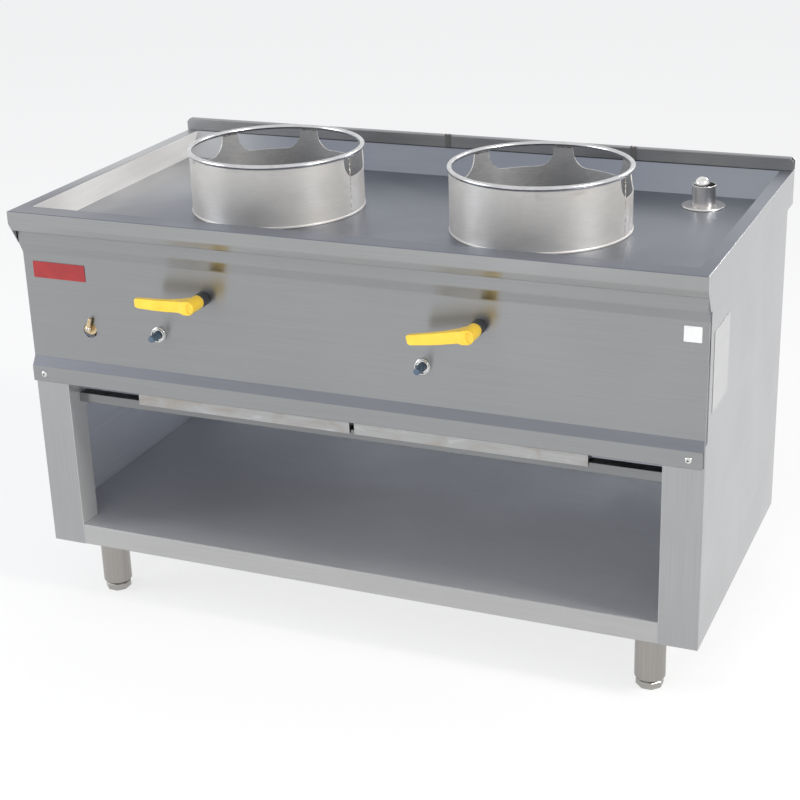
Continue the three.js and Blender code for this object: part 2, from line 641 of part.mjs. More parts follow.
// Gas: one manifold with its inlet at the back, and for each burner a ball valve, its long
// stem, a supply pipe with the injector, and the lever on the front.
function gasTrain() {
  const run = pipe(
    [[COCK_X - 24, MANIFOLD_Y, MANIFOLD_Z], [INLET_X, MANIFOLD_Y, MANIFOLD_Z], [INLET_X, INLET_END_Y, MANIFOLD_Z]],
    PIPE_R,
    34,
    12,
  );
  const risers = LEVER_X.map((x, i) =>
    rod(PIPE_R, MANIFOLD_Z, LEVER_Z[i] - 34 - FIT, 12).translate([x, MANIFOLD_Y, 0]),
  );
  const union = rodFront(19, INLET_END_Y - 24, INLET_END_Y, 6).translate([INLET_X, 0, MANIFOLD_Z]);
  const mouth = rodFront(9, INLET_END_Y - 30, INLET_END_Y + 1, 16).translate([INLET_X, 0, MANIFOLD_Z]);
  place("gas_manifold", cut(join(run, risers, union), mouth), galvanised);

  LEVER_X.forEach((x, i) => {
    const [hand, s] = HANDS[i];
    const z = LEVER_Z[i];
    const y = MANIFOLD_Y;
    const barrel = turned([[0, -34], [20, -34], [20, -18], [15, -14], [15, 14], [20, 18], [20, 34], [0, 34]], 12);
    const ball = solid(new THREE.SphereGeometry(22, 12, 8));
    const bonnet = rodFront(12, -34, 0, 12);
    const gland = rodFront(STEM_ROD_R + FIT, -40, -12, 12);
    const valve = cut(join(barrel, ball, bonnet), gland).translate([x, y, z]);
    place("gas_valve_" + hand, valve, brass);
    place("valve_stem_" + hand, rodFront(STEM_ROD_R, HUB_BACK_Y - STEM_IN, y - 12 - FIT, 16).translate([x, 0, z]), steel);

    const tip = MIX_MOUTH_Y + 4;
    const up = MIX_Z;
    const to = s * BURNER_X;
    const supply = pipe([[x, y, z + 34 + FIT], [x, y, up], [to, tip - 24, up], [to, tip - 10, up]], 9, 18, 8);
    const hex = rodFront(12, tip - 18, tip - 2, 6).translate([to, 0, up]);
    const jet = turnedFront([[0, -tip], [5, -tip], [5, 3 - tip], [0, 3 - tip]], 10).translate([to, 0, up]);
    place("supply_pipe_" + hand, join(supply, hex, jet), brass);

    const collar = turnedFront(
      [
        [STEM_ROD_R + FIT, -HUB_BACK_Y - FIT],
        [COLLAR_R - 1, -HUB_BACK_Y - FIT],
        [COLLAR_R, -HUB_BACK_Y - 2],
        [COLLAR_R, FIT - PANEL_FACE_Y],
        [10 - FIT, FIT - PANEL_FACE_Y],
        [10 - FIT, -PANEL_FACE_Y - 8],
        [STEM_ROD_R + FIT, -PANEL_FACE_Y - 8],
        [STEM_ROD_R + FIT, -HUB_BACK_Y - FIT],
      ],
      18,
    );
    place("lever_collar_" + hand, frontAxis(x, z)(collar), black);
    place("valve_lever_" + hand, frontAxis(x, z)(lever().rotate([0, -LEVER_TILT[i], 0])), yellow);
  });
}

// Cast handle: round hub with an oval recess in its nose, and a flat arm that leaves the
// hub's front and is braced back to it.
function lever() {
  const hub = turnedFront(
    [
      [0, -HUB_BACK_Y],
      [HUB_R - 1, -HUB_BACK_Y],
      [HUB_R, -HUB_BACK_Y + 1],
      [HUB_R, -HUB_FRONT_Y - 1.6],
      [HUB_R - 1.6, -HUB_FRONT_Y],
      [0, -HUB_FRONT_Y],
    ],
    22,
  );
  const y = ARM_FACE_Y;
  const plan = alongZ(
    [
      [6, y - 3.5],
      [-11, y - 3.5],
      [-20, y + 1.5],
      [-45, y],
      [-75, y],
      [-ARM_LONG + 14, y + 3],
      [-ARM_LONG + 3, y + 5.5],
      [-ARM_LONG, y + 9.5],
      [-ARM_LONG + 4, y + 14],
      [-75, y + 12],
      [-45, y + 14.5],
      [-13, y + 26],
      [6, y + 26],
    ],
    -20,
    20,
  );
  const face = new THREE.Shape();
  face.moveTo(0, 13.6);
  face.lineTo(-8, 13);
  face.lineTo(-22, 11);
  face.lineTo(-60, 10.8);
  face.lineTo(-ARM_LONG + 8, 9.6);
  face.bezierCurveTo(-ARM_LONG + 1, 9, -ARM_LONG, 5, -ARM_LONG, 0);
  face.bezierCurveTo(-ARM_LONG, -5, -ARM_LONG + 1, -9, -ARM_LONG + 8, -9.6);
  face.lineTo(-60, -10.8);
  face.lineTo(-22, -11);
  face.lineTo(-8, -13);
  face.lineTo(0, -13.6);
  const arm = plan.intersect(alongY(face, HUB_FRONT_Y - 10, HUB_BACK_Y, 5));
  const oval = new THREE.Shape().absellipse(5.5, 0, 6.2, 10.6, 0, 2 * Math.PI, false, 0);
  const recess = alongY(oval, HUB_FRONT_Y - 1, HUB_FRONT_Y + 2.5, 8);
  const socket = rodFront(STEM_ROD_R + FIT, HUB_BACK_Y - STEM_IN - 1, HUB_BACK_Y + 1, 16);
  return cut(join(hub, arm), recess, socket);
}

// Push-button piezo igniter: barrel behind the panel, bright bezel screwed on in front.
function igniters() {
  IGNITER_X.forEach((x, i) => {
    const [hand] = HANDS[i];
    const at = frontAxis(x, IGNITER_Z);
    const back = PANEL_FACE_Y + SHEET + FIT;
    const body = turnedFront(
      [
        [0, -86],
        [3.5, -86],
        [3.5, -80],
        [10, -80],
        [10, -back - 4],
        [12.5, -back - 4],
        [12.5, -back],
        [SLEEVE_R, -back],
        [SLEEVE_R, -16],
        [BUTTON_R + 0.4, -16],
        [BUTTON_R + 0.4, -32],
        [0, -32],
      ],
      16,
    );
    place("igniter_body_" + hand, at(body), slate);
    const face = PANEL_FACE_Y - FIT;
    const bezel = turnedFront(
      [
        [SLEEVE_R + FIT, -face],
        [BEZEL_R, -face],
        [BEZEL_R, -29.5],
        [BEZEL_R - 1.2, -28.8],
        [BEZEL_R - 0.4, -27.6],
        [BEZEL_R - 0.4, -24.5],
        [BEZEL_R - 1.4, -23.5],
        [BEZEL_R - 3, -23.5],
        [BEZEL_R - 3.6, -28],
        [SLEEVE_R + FIT, -28],
        [SLEEVE_R + FIT, -face],
      ],
      20,
    );
    place("igniter_bezel_" + hand, at(bezel), polished);
    const r = BUTTON_R;
    const button = turnedFront([[0, -23], [r, -23], [r, -0.2], [r - 1, 1], [0, 1]], 16);
    place("igniter_button_" + hand, at(button), slate);
  });
}

// Small brass taper cock that feeds the pilots, in its round hole on the left.
function pilotLine() {
  const at = frontAxis(COCK_X, COCK_Z);
  const rear = MANIFOLD_Y - PIPE_R - FIT;
  const body = turnedFront(
    [
      [0, -rear],
      [5, -rear],
      [5, -66],
      [9, -65],
      [12, -62],
      [12, -40],
      [COCK_HOLE_R - 0.5, -40],
      [COCK_HOLE_R - 0.5, -36],
      [8.6, -36],
      [8.6, -31],
      [4.3, -31],
      [4.3, -46],
      [0, -46],
    ],
    18,
  );
  const nipple = rod(5, -22, -8, 12).translate([0, PILOT_DROP_Y, 0]);
  place("pilot_cock_body", at(join(body, nipple)), brass);
  const hub = turnedFront([[0, -44], [4, -44], [4, -30.5], [7.6, -30.5], [7.6, -25.3], [6.8, -24.5], [0, -24.5]], 16);
  const tab = box(-3.8, 3.8, 25.5, 29.5, 0, 20.5).add(rodFront(3.8, 25.5, 29.5, 12).translate([0, 0, 20.5]));
  place("pilot_cock_lever", at(join(hub, tab).rotate([0, COCK_TILT, 0])), brass);

  const run = BURNER_Y + PILOT_OFF[1];
  const left = -BURNER_X + PILOT_OFF[0];
  const right = BURNER_X + PILOT_OFF[0];
  const headLow = 818;
  const main = pipe(
    [
      [COCK_X, PILOT_DROP_Y, COCK_Z - 22 - FIT],
      [COCK_X, PILOT_DROP_Y, PILOT_Z],
      [COCK_X, run, PILOT_Z],
      [right, run, PILOT_Z],
      [right, run, headLow - FIT],
    ],
    4,
    14,
    8,
  );
  const branch = rod(4, PILOT_Z, headLow - FIT, 8).translate([left, run, 0]);
  place("pilot_pipe", join(main, branch), brass);
  [left, right].forEach((x, i) => {
    const head = turned([[0, headLow], [6, headLow], [6, headLow + 14], [4, headLow + 19], [0, headLow + 19]], 12);
    const port = box(0, 10, -1.2, 1.2, headLow + 13, headLow + 22).rotate([0, 0, 45]);
    place("pilot_burner_" + HANDS[i][0], cut(head, port).translate([x, run, 0]), brass);
  });
}

// Ceramic spark electrode on a clip at the bowl, and the lead to it from the igniter.
function ignition() {
  for (const [i, [hand, s]] of HANDS.entries()) {
    const x = s * BURNER_X + SPARK_OFF[0];
    const y = BURNER_Y + SPARK_OFF[1];
    const low = SPARK_TOP_Z - 50;
    const stick = turned([[0, low], [2, low], [2, low + 6], [4.5, low + 8], [4.5, SPARK_TOP_Z - 4], [3, SPARK_TOP_Z], [0, SPARK_TOP_Z]], 12);
    const tip = pipe([[0, 0, SPARK_TOP_Z - 2], [0, 0, SPARK_TOP_Z + 8], [8, -8, SPARK_TOP_Z + 10]], 1.1, 3, 6);
    const angle = (Math.atan2(SPARK_OFF[1], SPARK_OFF[0]) * 180) / Math.PI;
    const toBowl = Math.hypot(...SPARK_OFF) - BOWL_R - FIT;
    const clip = box(-toBowl, 4, -4, 4, SPARK_TOP_Z - 28, SPARK_TOP_Z - 25).rotate([0, 0, angle]);
    const bowlRoom = rod(BOWL_R + FIT, FLOOR_Z - PUNCH, FLOOR_Z + PUNCH, 36).translate([-SPARK_OFF[0], -SPARK_OFF[1], 0]);
    const electrode = cut(join(stick, tip, clip), bowlRoom);
    place("spark_electrode_" + hand, electrode.translate([x, y, 0]), ceramic);
    const from = IGNITER_X[i];
    const lead = pipe(
      [
        [from, 86 + FIT, IGNITER_Z],
        [from, 100, IGNITER_Z],
        [from, 112, 660],
        [x, y, 690],
        [x, y, low - FIT],
      ],
      2.5,
      5,
      6,
    );
    place("ignition_lead_" + hand, lead, black);
  }
}

// Overflow: a flanged socket through the floor, the lift-out standpipe, and its pull knob.
function overflow() {
  const low = FLOOR_Z + FIT;
  const at = (b) => b.translate([DRAIN_X, DRAIN_Y, 0]);
  const bore = STANDPIPE_R + FIT;
  const socket = turned(
    [
      [bore, low + 3],
      [bore, STANDPIPE_LOW_Z - 2],
      [bore - 4.45, STANDPIPE_LOW_Z - 8],
      [bore - 4.45, DRAIN_TAIL_Z],
      [STANDPIPE_R - 0.15, DRAIN_TAIL_Z],
      [STANDPIPE_R - 0.15, STANDPIPE_LOW_Z - 10],
      [DRAIN_HOLE_R - 0.4, STANDPIPE_LOW_Z - 6],
      [DRAIN_HOLE_R - 0.4, low],
      [DRAIN_FLANGE_R, low],
      [DRAIN_FLANGE_R - 1, low + 3],
      [bore, low + 3],
    ],
    20,
  );
  place("drain_socket", at(socket), polished);
  const inner = STANDPIPE_R - 2;
  const tube = turned(
    [
      [inner, STANDPIPE_LOW_Z],
      [STANDPIPE_R, STANDPIPE_LOW_Z],
      [STANDPIPE_R, STANDPIPE_TOP_Z - 1],
      [STANDPIPE_R - 1, STANDPIPE_TOP_Z],
      [inner, STANDPIPE_TOP_Z],
      [inner, STANDPIPE_LOW_Z],
    ],
    20,
  );
  place("standpipe", at(tube), polished);
  const ball = solid(new THREE.SphereGeometry(BALL_R, 14, 9).translate(BALL_OFF, 0, STANDPIPE_TOP_Z - 0.5));
  const stalk = rod(3, STANDPIPE_TOP_Z - 27, STANDPIPE_TOP_Z - 7, 12).translate([BALL_OFF, 0, 0]);
  const bar = solid(new THREE.CylinderGeometry(2.5, 2.5, 2 * (inner - 1), 10).rotateZ(Math.PI / 2).translate(0, 0, STANDPIPE_TOP_Z - 25));
  place("standpipe_knob", at(join(ball, stalk, bar)), polished);
}

worktop();
splashback();
splashClips();
frontPanel();
sidePanels();
backPanel();
bottomShelf();
trayRails();
dripTrays();
legsAndFeet();
wokRings();
burners();
gasTrain();
igniters();
pilotLine();
ignition();
overflow();

range.position.y = -(DEPTH + HUB_FRONT_Y) / 2;
export default range;
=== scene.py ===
import json
import math

import bmesh
import bpy
from mathutils import Matrix, Vector

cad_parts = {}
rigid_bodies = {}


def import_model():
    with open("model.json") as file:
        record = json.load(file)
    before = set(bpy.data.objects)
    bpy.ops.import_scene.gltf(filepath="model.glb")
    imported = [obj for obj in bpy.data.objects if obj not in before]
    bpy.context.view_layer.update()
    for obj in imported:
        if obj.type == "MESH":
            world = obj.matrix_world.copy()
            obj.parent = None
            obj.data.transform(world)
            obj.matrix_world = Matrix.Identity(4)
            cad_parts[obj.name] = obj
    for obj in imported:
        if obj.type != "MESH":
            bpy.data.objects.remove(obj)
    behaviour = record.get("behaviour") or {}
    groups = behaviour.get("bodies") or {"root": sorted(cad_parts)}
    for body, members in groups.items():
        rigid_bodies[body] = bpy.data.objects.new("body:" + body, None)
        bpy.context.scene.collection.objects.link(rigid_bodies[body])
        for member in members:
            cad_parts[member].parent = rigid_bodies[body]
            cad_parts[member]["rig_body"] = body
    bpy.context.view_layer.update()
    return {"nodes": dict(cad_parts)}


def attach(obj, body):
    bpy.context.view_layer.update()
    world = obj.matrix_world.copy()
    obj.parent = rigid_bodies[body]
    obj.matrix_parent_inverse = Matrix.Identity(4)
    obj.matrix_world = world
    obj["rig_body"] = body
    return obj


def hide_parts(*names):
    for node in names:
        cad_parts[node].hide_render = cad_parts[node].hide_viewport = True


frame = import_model()
solids = frame["nodes"]
MM = 0.001
FRONT_RIM = -352.5 * MM  # where the worktop's front rim lies on the frame's y axis

# ---------------------------------------------------------------------------
# Camera: a long lens from the right of centre, 1.75 m above the floor. Its angles,
# distance and roll are those of the photograph.
# ---------------------------------------------------------------------------


def placed(spot):
    """A place given in millimetres: right of the middle, behind the front rim and above the floor."""
    return Vector(spot) * MM + Vector((0, FRONT_RIM, 0))


LOOK_FROM = math.radians(23.54)
LOOK_DOWN = math.radians(21.987)
ROLL = math.radians(-1.906)
LOOK_AT = placed((-43.3, 400, 389.8))
LOOK_DISTANCE = 3642.7 * MM
SENSOR_WIDE = 36
PICTURE_WIDE = 800
LENS_IN_PIXELS = 1712.93

ahead = Vector(
    (
        -math.sin(LOOK_FROM) * math.cos(LOOK_DOWN),
        math.cos(LOOK_FROM) * math.cos(LOOK_DOWN),
        -math.sin(LOOK_DOWN),
    )
)
level = Vector((math.cos(LOOK_FROM), math.sin(LOOK_FROM), 0))
upright = level.cross(ahead)
right = level * math.cos(ROLL) + upright * math.sin(ROLL)
up = upright * math.cos(ROLL) - level * math.sin(ROLL)
camera = bpy.data.objects.new("camera", bpy.data.cameras.new("camera"))
bpy.context.scene.collection.objects.link(camera)
bpy.context.scene.camera = camera
camera.data.sensor_width = SENSOR_WIDE
camera.data.lens = SENSOR_WIDE * LENS_IN_PIXELS / PICTURE_WIDE
camera.data.clip_start, camera.data.clip_end = 0.1, 60
camera.matrix_world = Matrix.Translation(LOOK_AT - ahead * LOOK_DISTANCE) @ Matrix(
    (right, up, -ahead)
).transposed().to_4x4()

# ---------------------------------------------------------------------------
# Studio: a pale floor and a white surround that the metal also sees. A warm lamp
# stands on the right, a wide soft one on the left and a low one in front, and a
# small one behind on the right gives highlights only.
# ---------------------------------------------------------------------------
scene = bpy.context.scene
scene.view_settings.view_transform = "Standard"


def wire(tree, pairs):
    for source, target in pairs:
        tree.links.new(source, target)


world = bpy.data.worlds.new("surround")
world.use_nodes = True
scene.world = world
tree = world.node_tree
tree.nodes.clear()
out = tree.nodes.new("ShaderNodeOutputWorld")
shown = tree.nodes.new("ShaderNodeBackground")
shown.inputs["Color"].default_value = (1, 1, 1, 1)
shown.inputs["Strength"].default_value = 1
ambient = tree.nodes.new("ShaderNodeBackground")
ambient.inputs["Color"].default_value = (0.93, 0.95, 1, 1)
ambient.inputs["Strength"].default_value = 0.65
seen = tree.nodes.new("ShaderNodeMixShader")
path = tree.nodes.new("ShaderNodeLightPath")
either = tree.nodes.new("ShaderNodeMath")
either.operation = "MAXIMUM"
any_of = tree.nodes.new("ShaderNodeMath")
any_of.operation = "MAXIMUM"
wire(
    tree,
    [
        (path.outputs["Is Camera Ray"], either.inputs[0]),
        (path.outputs["Is Glossy Ray"], either.inputs[1]),
        (either.outputs[0], any_of.inputs[0]),
        (path.outputs["Is Transmission Ray"], any_of.inputs[1]),
        (any_of.outputs[0], seen.inputs[0]),
        (ambient.outputs[0], seen.inputs[1]),
        (shown.outputs[0], seen.inputs[2]),
        (seen.outputs[0], out.inputs[0]),
    ],
)

FLOOR_HALF = 9
FLOOR_GLOW = 0.7  # share of plain white mixed into the lit paper for the camera and reflections
floor_corners = [(x * FLOOR_HALF, y * FLOOR_HALF, 0) for x, y in ((-1, -1), (1, -1), (1, 1), (-1, 1))]
floor_mesh = bpy.data.meshes.new("studio_floor")
floor_mesh.from_pydata(floor_corners, [], [(0, 1, 2, 3)])
studio_floor = bpy.data.objects.new("studio_floor", floor_mesh)
scene.collection.objects.link(studio_floor)
paper = bpy.data.materials.new("studio_paper")
paper.use_nodes = True
tree = paper.node_tree
tree.nodes.clear()
out = tree.nodes.new("ShaderNodeOutputMaterial")
matt = tree.nodes.new("ShaderNodeBsdfDiffuse")
matt.inputs["Color"].default_value = (0.9, 0.9, 0.9, 1)
glow = tree.nodes.new("ShaderNodeEmission")
glow.inputs["Color"].default_value = (1, 1, 1, 1)
both = tree.nodes.new("ShaderNodeMixShader")
path = tree.nodes.new("ShaderNodeLightPath")
either = tree.nodes.new("ShaderNodeMath")
either.operation = "MAXIMUM"
share = tree.nodes.new("ShaderNodeMath")
share.operation = "MULTIPLY"
share.inputs[1].default_value = FLOOR_GLOW
wire(
    tree,
    [
        (path.outputs["Is Camera Ray"], either.inputs[0]),
        (path.outputs["Is Glossy Ray"], either.inputs[1]),
        (either.outputs[0], share.inputs[0]),
        (share.outputs[0], both.inputs[0]),
        (matt.outputs[0], both.inputs[1]),
        (glow.outputs[0], both.inputs[2]),
        (both.outputs[0], out.inputs[0]),
    ],
)
floor_mesh.materials.append(paper)


def lamp(name, size, power, place, aim, tint=(1, 1, 1)):
    data = bpy.data.lights.new(name, "AREA")
    data.shape, data.size, data.energy, data.color = "DISK", size, power, tint
    made = bpy.data.objects.new(name, data)
    made.location = place
    made.rotation_euler = (Vector(aim) - Vector(place)).to_track_quat("-Z", "Y").to_euler()
    scene.collection.objects.link(made)
    return made


lamp("key_lamp", 1.1, 125, (3.6, -0.6, 3.1), (0, 0, 0.7), (1, 0.97, 0.92))
lamp("fill_lamp", 2.6, 100, (-4.6, -2.2, 2.4), (0, 0, 0.5), (0.96, 0.98, 1))
low_lamp = lamp("low_lamp", 1.6, 52, (-0.5, -3.6, 0.75), (0, 0, 0.35), (0.94, 0.97, 1))
low_lamp.visible_glossy = False
edge_lamp = lamp("edge_lamp", 0.6, 22, (1.59, 2.55, 2.16), (0.3, 0, 0.8), (1, 0.98, 0.95))
edge_lamp.visible_diffuse = False

# ---------------------------------------------------------------------------
# Worktop: 2 mm stainless sheet, folded and welded into a shallow tub. Its inside is
# dulled by blasting and its rims and fascias are brushed. The left wall inside is painted
# with sunlight, and the rims, sides and rest of the inside are copies of the steel
# painted lighter or darker by how light falls on them.
# ---------------------------------------------------------------------------


class Finish:
    """A metal or plastic surface whose colour, gloss and relief are built up node by node."""

    def __init__(self, name, metallic, roughness, **sockets):
        self.material = bpy.data.materials.new(name)
        self.material.use_nodes = True
        self.tree = self.material.node_tree
        self.shader = self.tree.nodes["Principled BSDF"]
        self.shader.inputs["Metallic"].default_value = metallic
        self.shader.inputs["Roughness"].default_value = roughness
        for socket, value in sockets.items():
            self.shader.inputs[socket.replace("_", " ")].default_value = value
        self.place = self.tree.nodes.new("ShaderNodeTexCoord").outputs["Object"]

    def node(self, kind, **settings):
        made = self.tree.nodes.new(kind)
        for key, value in settings.items():
            if hasattr(made, key):
                setattr(made, key, value)
            else:
                made.inputs[key].default_value = value
        return made

    def noise(self, stretch, detail=2.0, distortion=0.0):
        """Noise whose grain is as fine as each number of stretch says, per metre."""
        spread = self.node("ShaderNodeMapping")
        spread.inputs["Scale"].default_value = stretch
        self.tree.links.new(self.place, spread.inputs["Vector"])
        grain = self.node("ShaderNodeTexNoise", Scale=1.0, Detail=detail, Distortion=distortion)
        self.tree.links.new(spread.outputs[0], grain.inputs["Vector"])
        return grain.outputs["Fac"]

    def ramp(self, value, low, high, to_low=0.0, to_high=1.0):
        ranged = self.node("ShaderNodeMapRange", interpolation_type="SMOOTHSTEP")
        for key, number in zip(("From Min", "From Max", "To Min", "To Max"), (low, high, to_low, to_high)):
            ranged.inputs[key].default_value = number
        self.tree.links.new(value, ranged.inputs["Value"])
        return ranged.outputs[0]

    def mix(self, share, first, second):
        mixed = self.node("ShaderNodeMix", data_type="RGBA", blend_type="MIX")
        for socket, value in ((0, share), (6, first), (7, second)):
            if isinstance(value, bpy.types.NodeSocket):
                self.tree.links.new(value, mixed.inputs[socket])
            else:
                mixed.inputs[socket].default_value = value if socket == 0 else (*value, 1)
        return mixed.outputs[2]

    def times(self, first, second):
        product = self.node("ShaderNodeMath", operation="MULTIPLY")
        self.tree.links.new(first, product.inputs[0])
        self.tree.links.new(second, product.inputs[1])
        return product.outputs[0]

    def height(self, value, depth, strength=1.0):
        bump = self.node("ShaderNodeBump", Distance=depth, Strength=strength)
        self.tree.links.new(value, bump.inputs["Height"])
        return bump.outputs[0]

    def along(self, axis):
        split = self.node("ShaderNodeSeparateXYZ")
        self.tree.links.new(self.place, split.inputs[0])
        return split.outputs[axis]

    def wear(self, colour=None, roughness=None, normal=None, tangent=None):
        for socket, value in (("Base Color", colour), ("Roughness", roughness), ("Normal", normal)):
            if value is not None:
                self.tree.links.new(value, self.shader.inputs[socket])
        if tangent:
            steady = self.node("ShaderNodeCombineXYZ", X=tangent[0], Y=tangent[1], Z=tangent[2])
            self.tree.links.new(steady.outputs[0], self.shader.inputs["Tangent"])
        return self.material


# Below this roughness the render's noise filter takes metal for a mirror, and where a
# surface crosses it a line is drawn round each glossy patch.
DULLEST_MIRROR = 0.28


def shaded(colour, share):
    return tuple(part * share for part in colour)


def brushed(
    name, colour, grain, across, roughness=0.3, streak=0.04, mottle=0.08, anisotropy=0.75, metallic=1.0
):
    """Sheet brushed along the grain axis, its scratches side by side along the across axis."""
    f = Finish(name, metallic, roughness, Anisotropic=anisotropy)
    fine = f.noise([5 if axis == grain else (900 if axis == across else 40) for axis in range(3)], 3)
    broad = f.noise([60 if axis == across else (1.2 if axis == grain else 6) for axis in range(3)], 3)
    cloud = f.noise((4, 4, 4), 3, 0.4)
    tone = f.mix(f.ramp(fine, 0.3, 0.7), shaded(colour, 1 - streak), shaded(colour, 1 + streak))
    tone = f.mix(f.ramp(broad, 0.35, 0.7, 0, streak), tone, shaded(colour, 0.6))
    tone = f.mix(f.ramp(cloud, 0.3, 0.75, 0, mottle), tone, shaded(colour, 0.7))
    gloss = f.ramp(cloud, 0.3, 0.7, max(roughness - 0.04, DULLEST_MIRROR), roughness + 0.05)
    tangent = [1.0 if axis == across else 0.0 for axis in range(3)]
    return f.wear(tone, gloss, f.height(fine, 0.00002, 0.22), tangent)


def stand_in(piece, slot, *nodes):
    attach(piece, solids[nodes[0]]["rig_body"])
    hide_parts(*nodes)
    return piece


def settle(piece, smooth=40):
    """Applies a piece's modifiers, then smooths every edge that turns less than the angle given."""
    plain = bpy.data.meshes.new_from_object(piece.evaluated_get(bpy.context.evaluated_depsgraph_get()))
    piece.modifiers.clear()
    piece.data = plain
    plain.name = piece.name
    plain.shade_smooth()
    plain.set_sharp_from_angle(angle=math.radians(smooth))
    even = piece.modifiers.new("even_shading", "WEIGHTED_NORMAL")
    even.keep_sharp = True
    even.weight = 80
    return piece


WIDER_THAN_ANY = 10.0  # metres
FLAT_TURN = 0.02  # radians: an edge that turns less lies within a flat face
NEXT_TO_NOTHING = 1e-6  # metres


def room(face, line):
    """Least distance from an edge, across one of the faces beside it, to that face's far side."""
    corner = next(each for each in face.loops if each.edge == line)
    start, end = corner.vert.co, corner.link_loop_next.vert.co
    way = (end - start).normalized()
    inward = face.normal.cross(way)
    least = WIDER_THAN_ANY
    for part in (0.03, 0.25, 0.5, 0.75, 0.97):
        spot = start.lerp(end, part)
        for other in face.edges:
            if other == line or other.calc_face_angle(1) < FLAT_TURN:
                continue
            near, far = other.verts[0].co - spot, other.verts[1].co - spot
            before, after = near.dot(way), far.dot(way)
            if (before > 0) != (after > 0):
                share = before / (before - after)
                reach = near.dot(inward) * (1 - share) + far.dot(inward) * share
                if reach > NEXT_TO_NOTHING:
                    least = min(least, reach)
    return least


LONG_ENOUGH = 0.18  # metres: a shorter edge is cut or cast, not bent
BEND_TURN, EDGE_TURN = math.radians(12), math.radians(28)
BEND_ROOM = 2.2  # a bend needs this many times its own width on the faces beside it


def dressed(node, finish, slot, edge=0.5 * MM, bend=2.2 * MM, runs="xyz"):
    """A merged copy of a solid, its long bends along the named axes and its edges rounded."""
    mesh = solids[node].data.copy()
    mesh.materials.clear()
    for each in finish if isinstance(finish, (list, tuple)) else [finish]:
        mesh.materials.append(each)
    piece = bpy.data.objects.new(node + "_finished", mesh)
    scene.collection.objects.link(piece)
    form = bmesh.new()
    form.from_mesh(mesh)
    bmesh.ops.remove_doubles(form, verts=form.verts, dist=0.01 * MM)
    bmesh.ops.dissolve_limit(form, angle_limit=math.radians(1), verts=form.verts, edges=form.edges)
    share = form.edges.layers.float.new("bevel_weight_edge")
    for line in form.edges:
        if len(line.link_faces) != 2:
            continue
        turn = line.calc_face_angle_signed(0)
        way = (line.verts[1].co - line.verts[0].co).normalized()
        along_run = any(abs(way["xyz".index(axis)]) > 0.99 for axis in runs)
        bent = along_run and line.calc_length() > LONG_ENOUGH and abs(turn) > BEND_TURN
        if bent and min(room(face, line) for face in line.link_faces) > BEND_ROOM * bend:
            line[share] = 1
        elif turn > EDGE_TURN:
            line[share] = edge / bend
    form.to_mesh(mesh)
    form.free()
    rounded = piece.modifiers.new("rounded_edges", "BEVEL")
    rounded.limit_method = "WEIGHT"
    rounded.width = bend
    rounded.segments = 3
    rounded.use_clamp_overlap = False
    return stand_in(settle(piece), slot, node)


# The inside's blue-grey is a painted reflection of the sky over the blasted steel; the ramps below paint
# light and shade into it.
BLASTED_SKY_TINT = (0.21, 0.228, 0.272)
blasted_painted_light = Finish("blasted_steel", 1.0, 0.36, Anisotropic=0.4)
speckle = blasted_painted_light.noise((700, 700, 700), 2)
drawn = blasted_painted_light.noise((7, 160, 90), 3)
cloud = blasted_painted_light.noise((3.5, 3.5, 3.5), 4, 0.6)
# Painted light: the inside is lighter towards the left wall.
painted_light_left = blasted_painted_light.ramp(blasted_painted_light.along(0), -0.66, -0.42, 0.9, 0)
tone = blasted_painted_light.mix(blasted_painted_light.ramp(speckle, 0.3, 0.7), shaded(BLASTED_SKY_TINT, 0.94), shaded(BLASTED_SKY_TINT, 1.06))
tone = blasted_painted_light.mix(blasted_painted_light.ramp(drawn, 0.4, 0.7, 0, 0.2), tone, shaded(BLASTED_SKY_TINT, 0.8))
tone = blasted_painted_light.mix(blasted_painted_light.ramp(cloud, 0.35, 0.75, 0, 0.45), tone, (0.285, 0.29, 0.315))
tone = blasted_painted_light.mix(painted_light_left, tone, (0.46, 0.465, 0.48))
# Painted light: lighter again towards the right.
tone = blasted_painted_light.mix(blasted_painted_light.ramp(blasted_painted_light.along(0), 0.2, 0.6, 0, 0.5), tone, (0.31, 0.325, 0.36))
# Painted shade: darker towards the front wall.
painted_shade_front = blasted_painted_light.ramp(blasted_painted_light.along(1), FRONT_RIM + 0.04, FRONT_RIM + 0.5, 0.8, 0)
tone = blasted_painted_light.mix(painted_shade_front, tone, (0.15, 0.16, 0.195))
gloss = blasted_painted_light.ramp(cloud, 0.3, 0.7, DULLEST_MIRROR, 0.4)
blasted_painted_light = blasted_painted_light.wear(tone, gloss, blasted_painted_light.height(speckle, 0.00003, 0.4), (0, 1, 0))
# The rims' tops are copies of the steel with painted light: the front rim's dark blue-grey is a painted
# reflection of the sky, and the side rims' tops are painted lighter.
front_rim_painted_sky = brushed("front_rim_painted_sky", (0.19, 0.2, 0.24), 0, 1, 0.32, 0.04, 0.06)
side_rim_painted_light = brushed("side_rim_painted_light", (0.37, 0.385, 0.425), 1, 0, 0.3, 0.04, 0.06)
fascia_steel = brushed("fascia_steel", (0.365, 0.368, 0.37), 0, 2, 0.3)
# The sides, here and on the side panels, are a lighter copy of the steel than the fascias: painted light.
side_steel_painted_light = brushed("side_steel_painted_light", (0.46, 0.465, 0.475), 1, 2, 0.3, 0.03, 0.03)
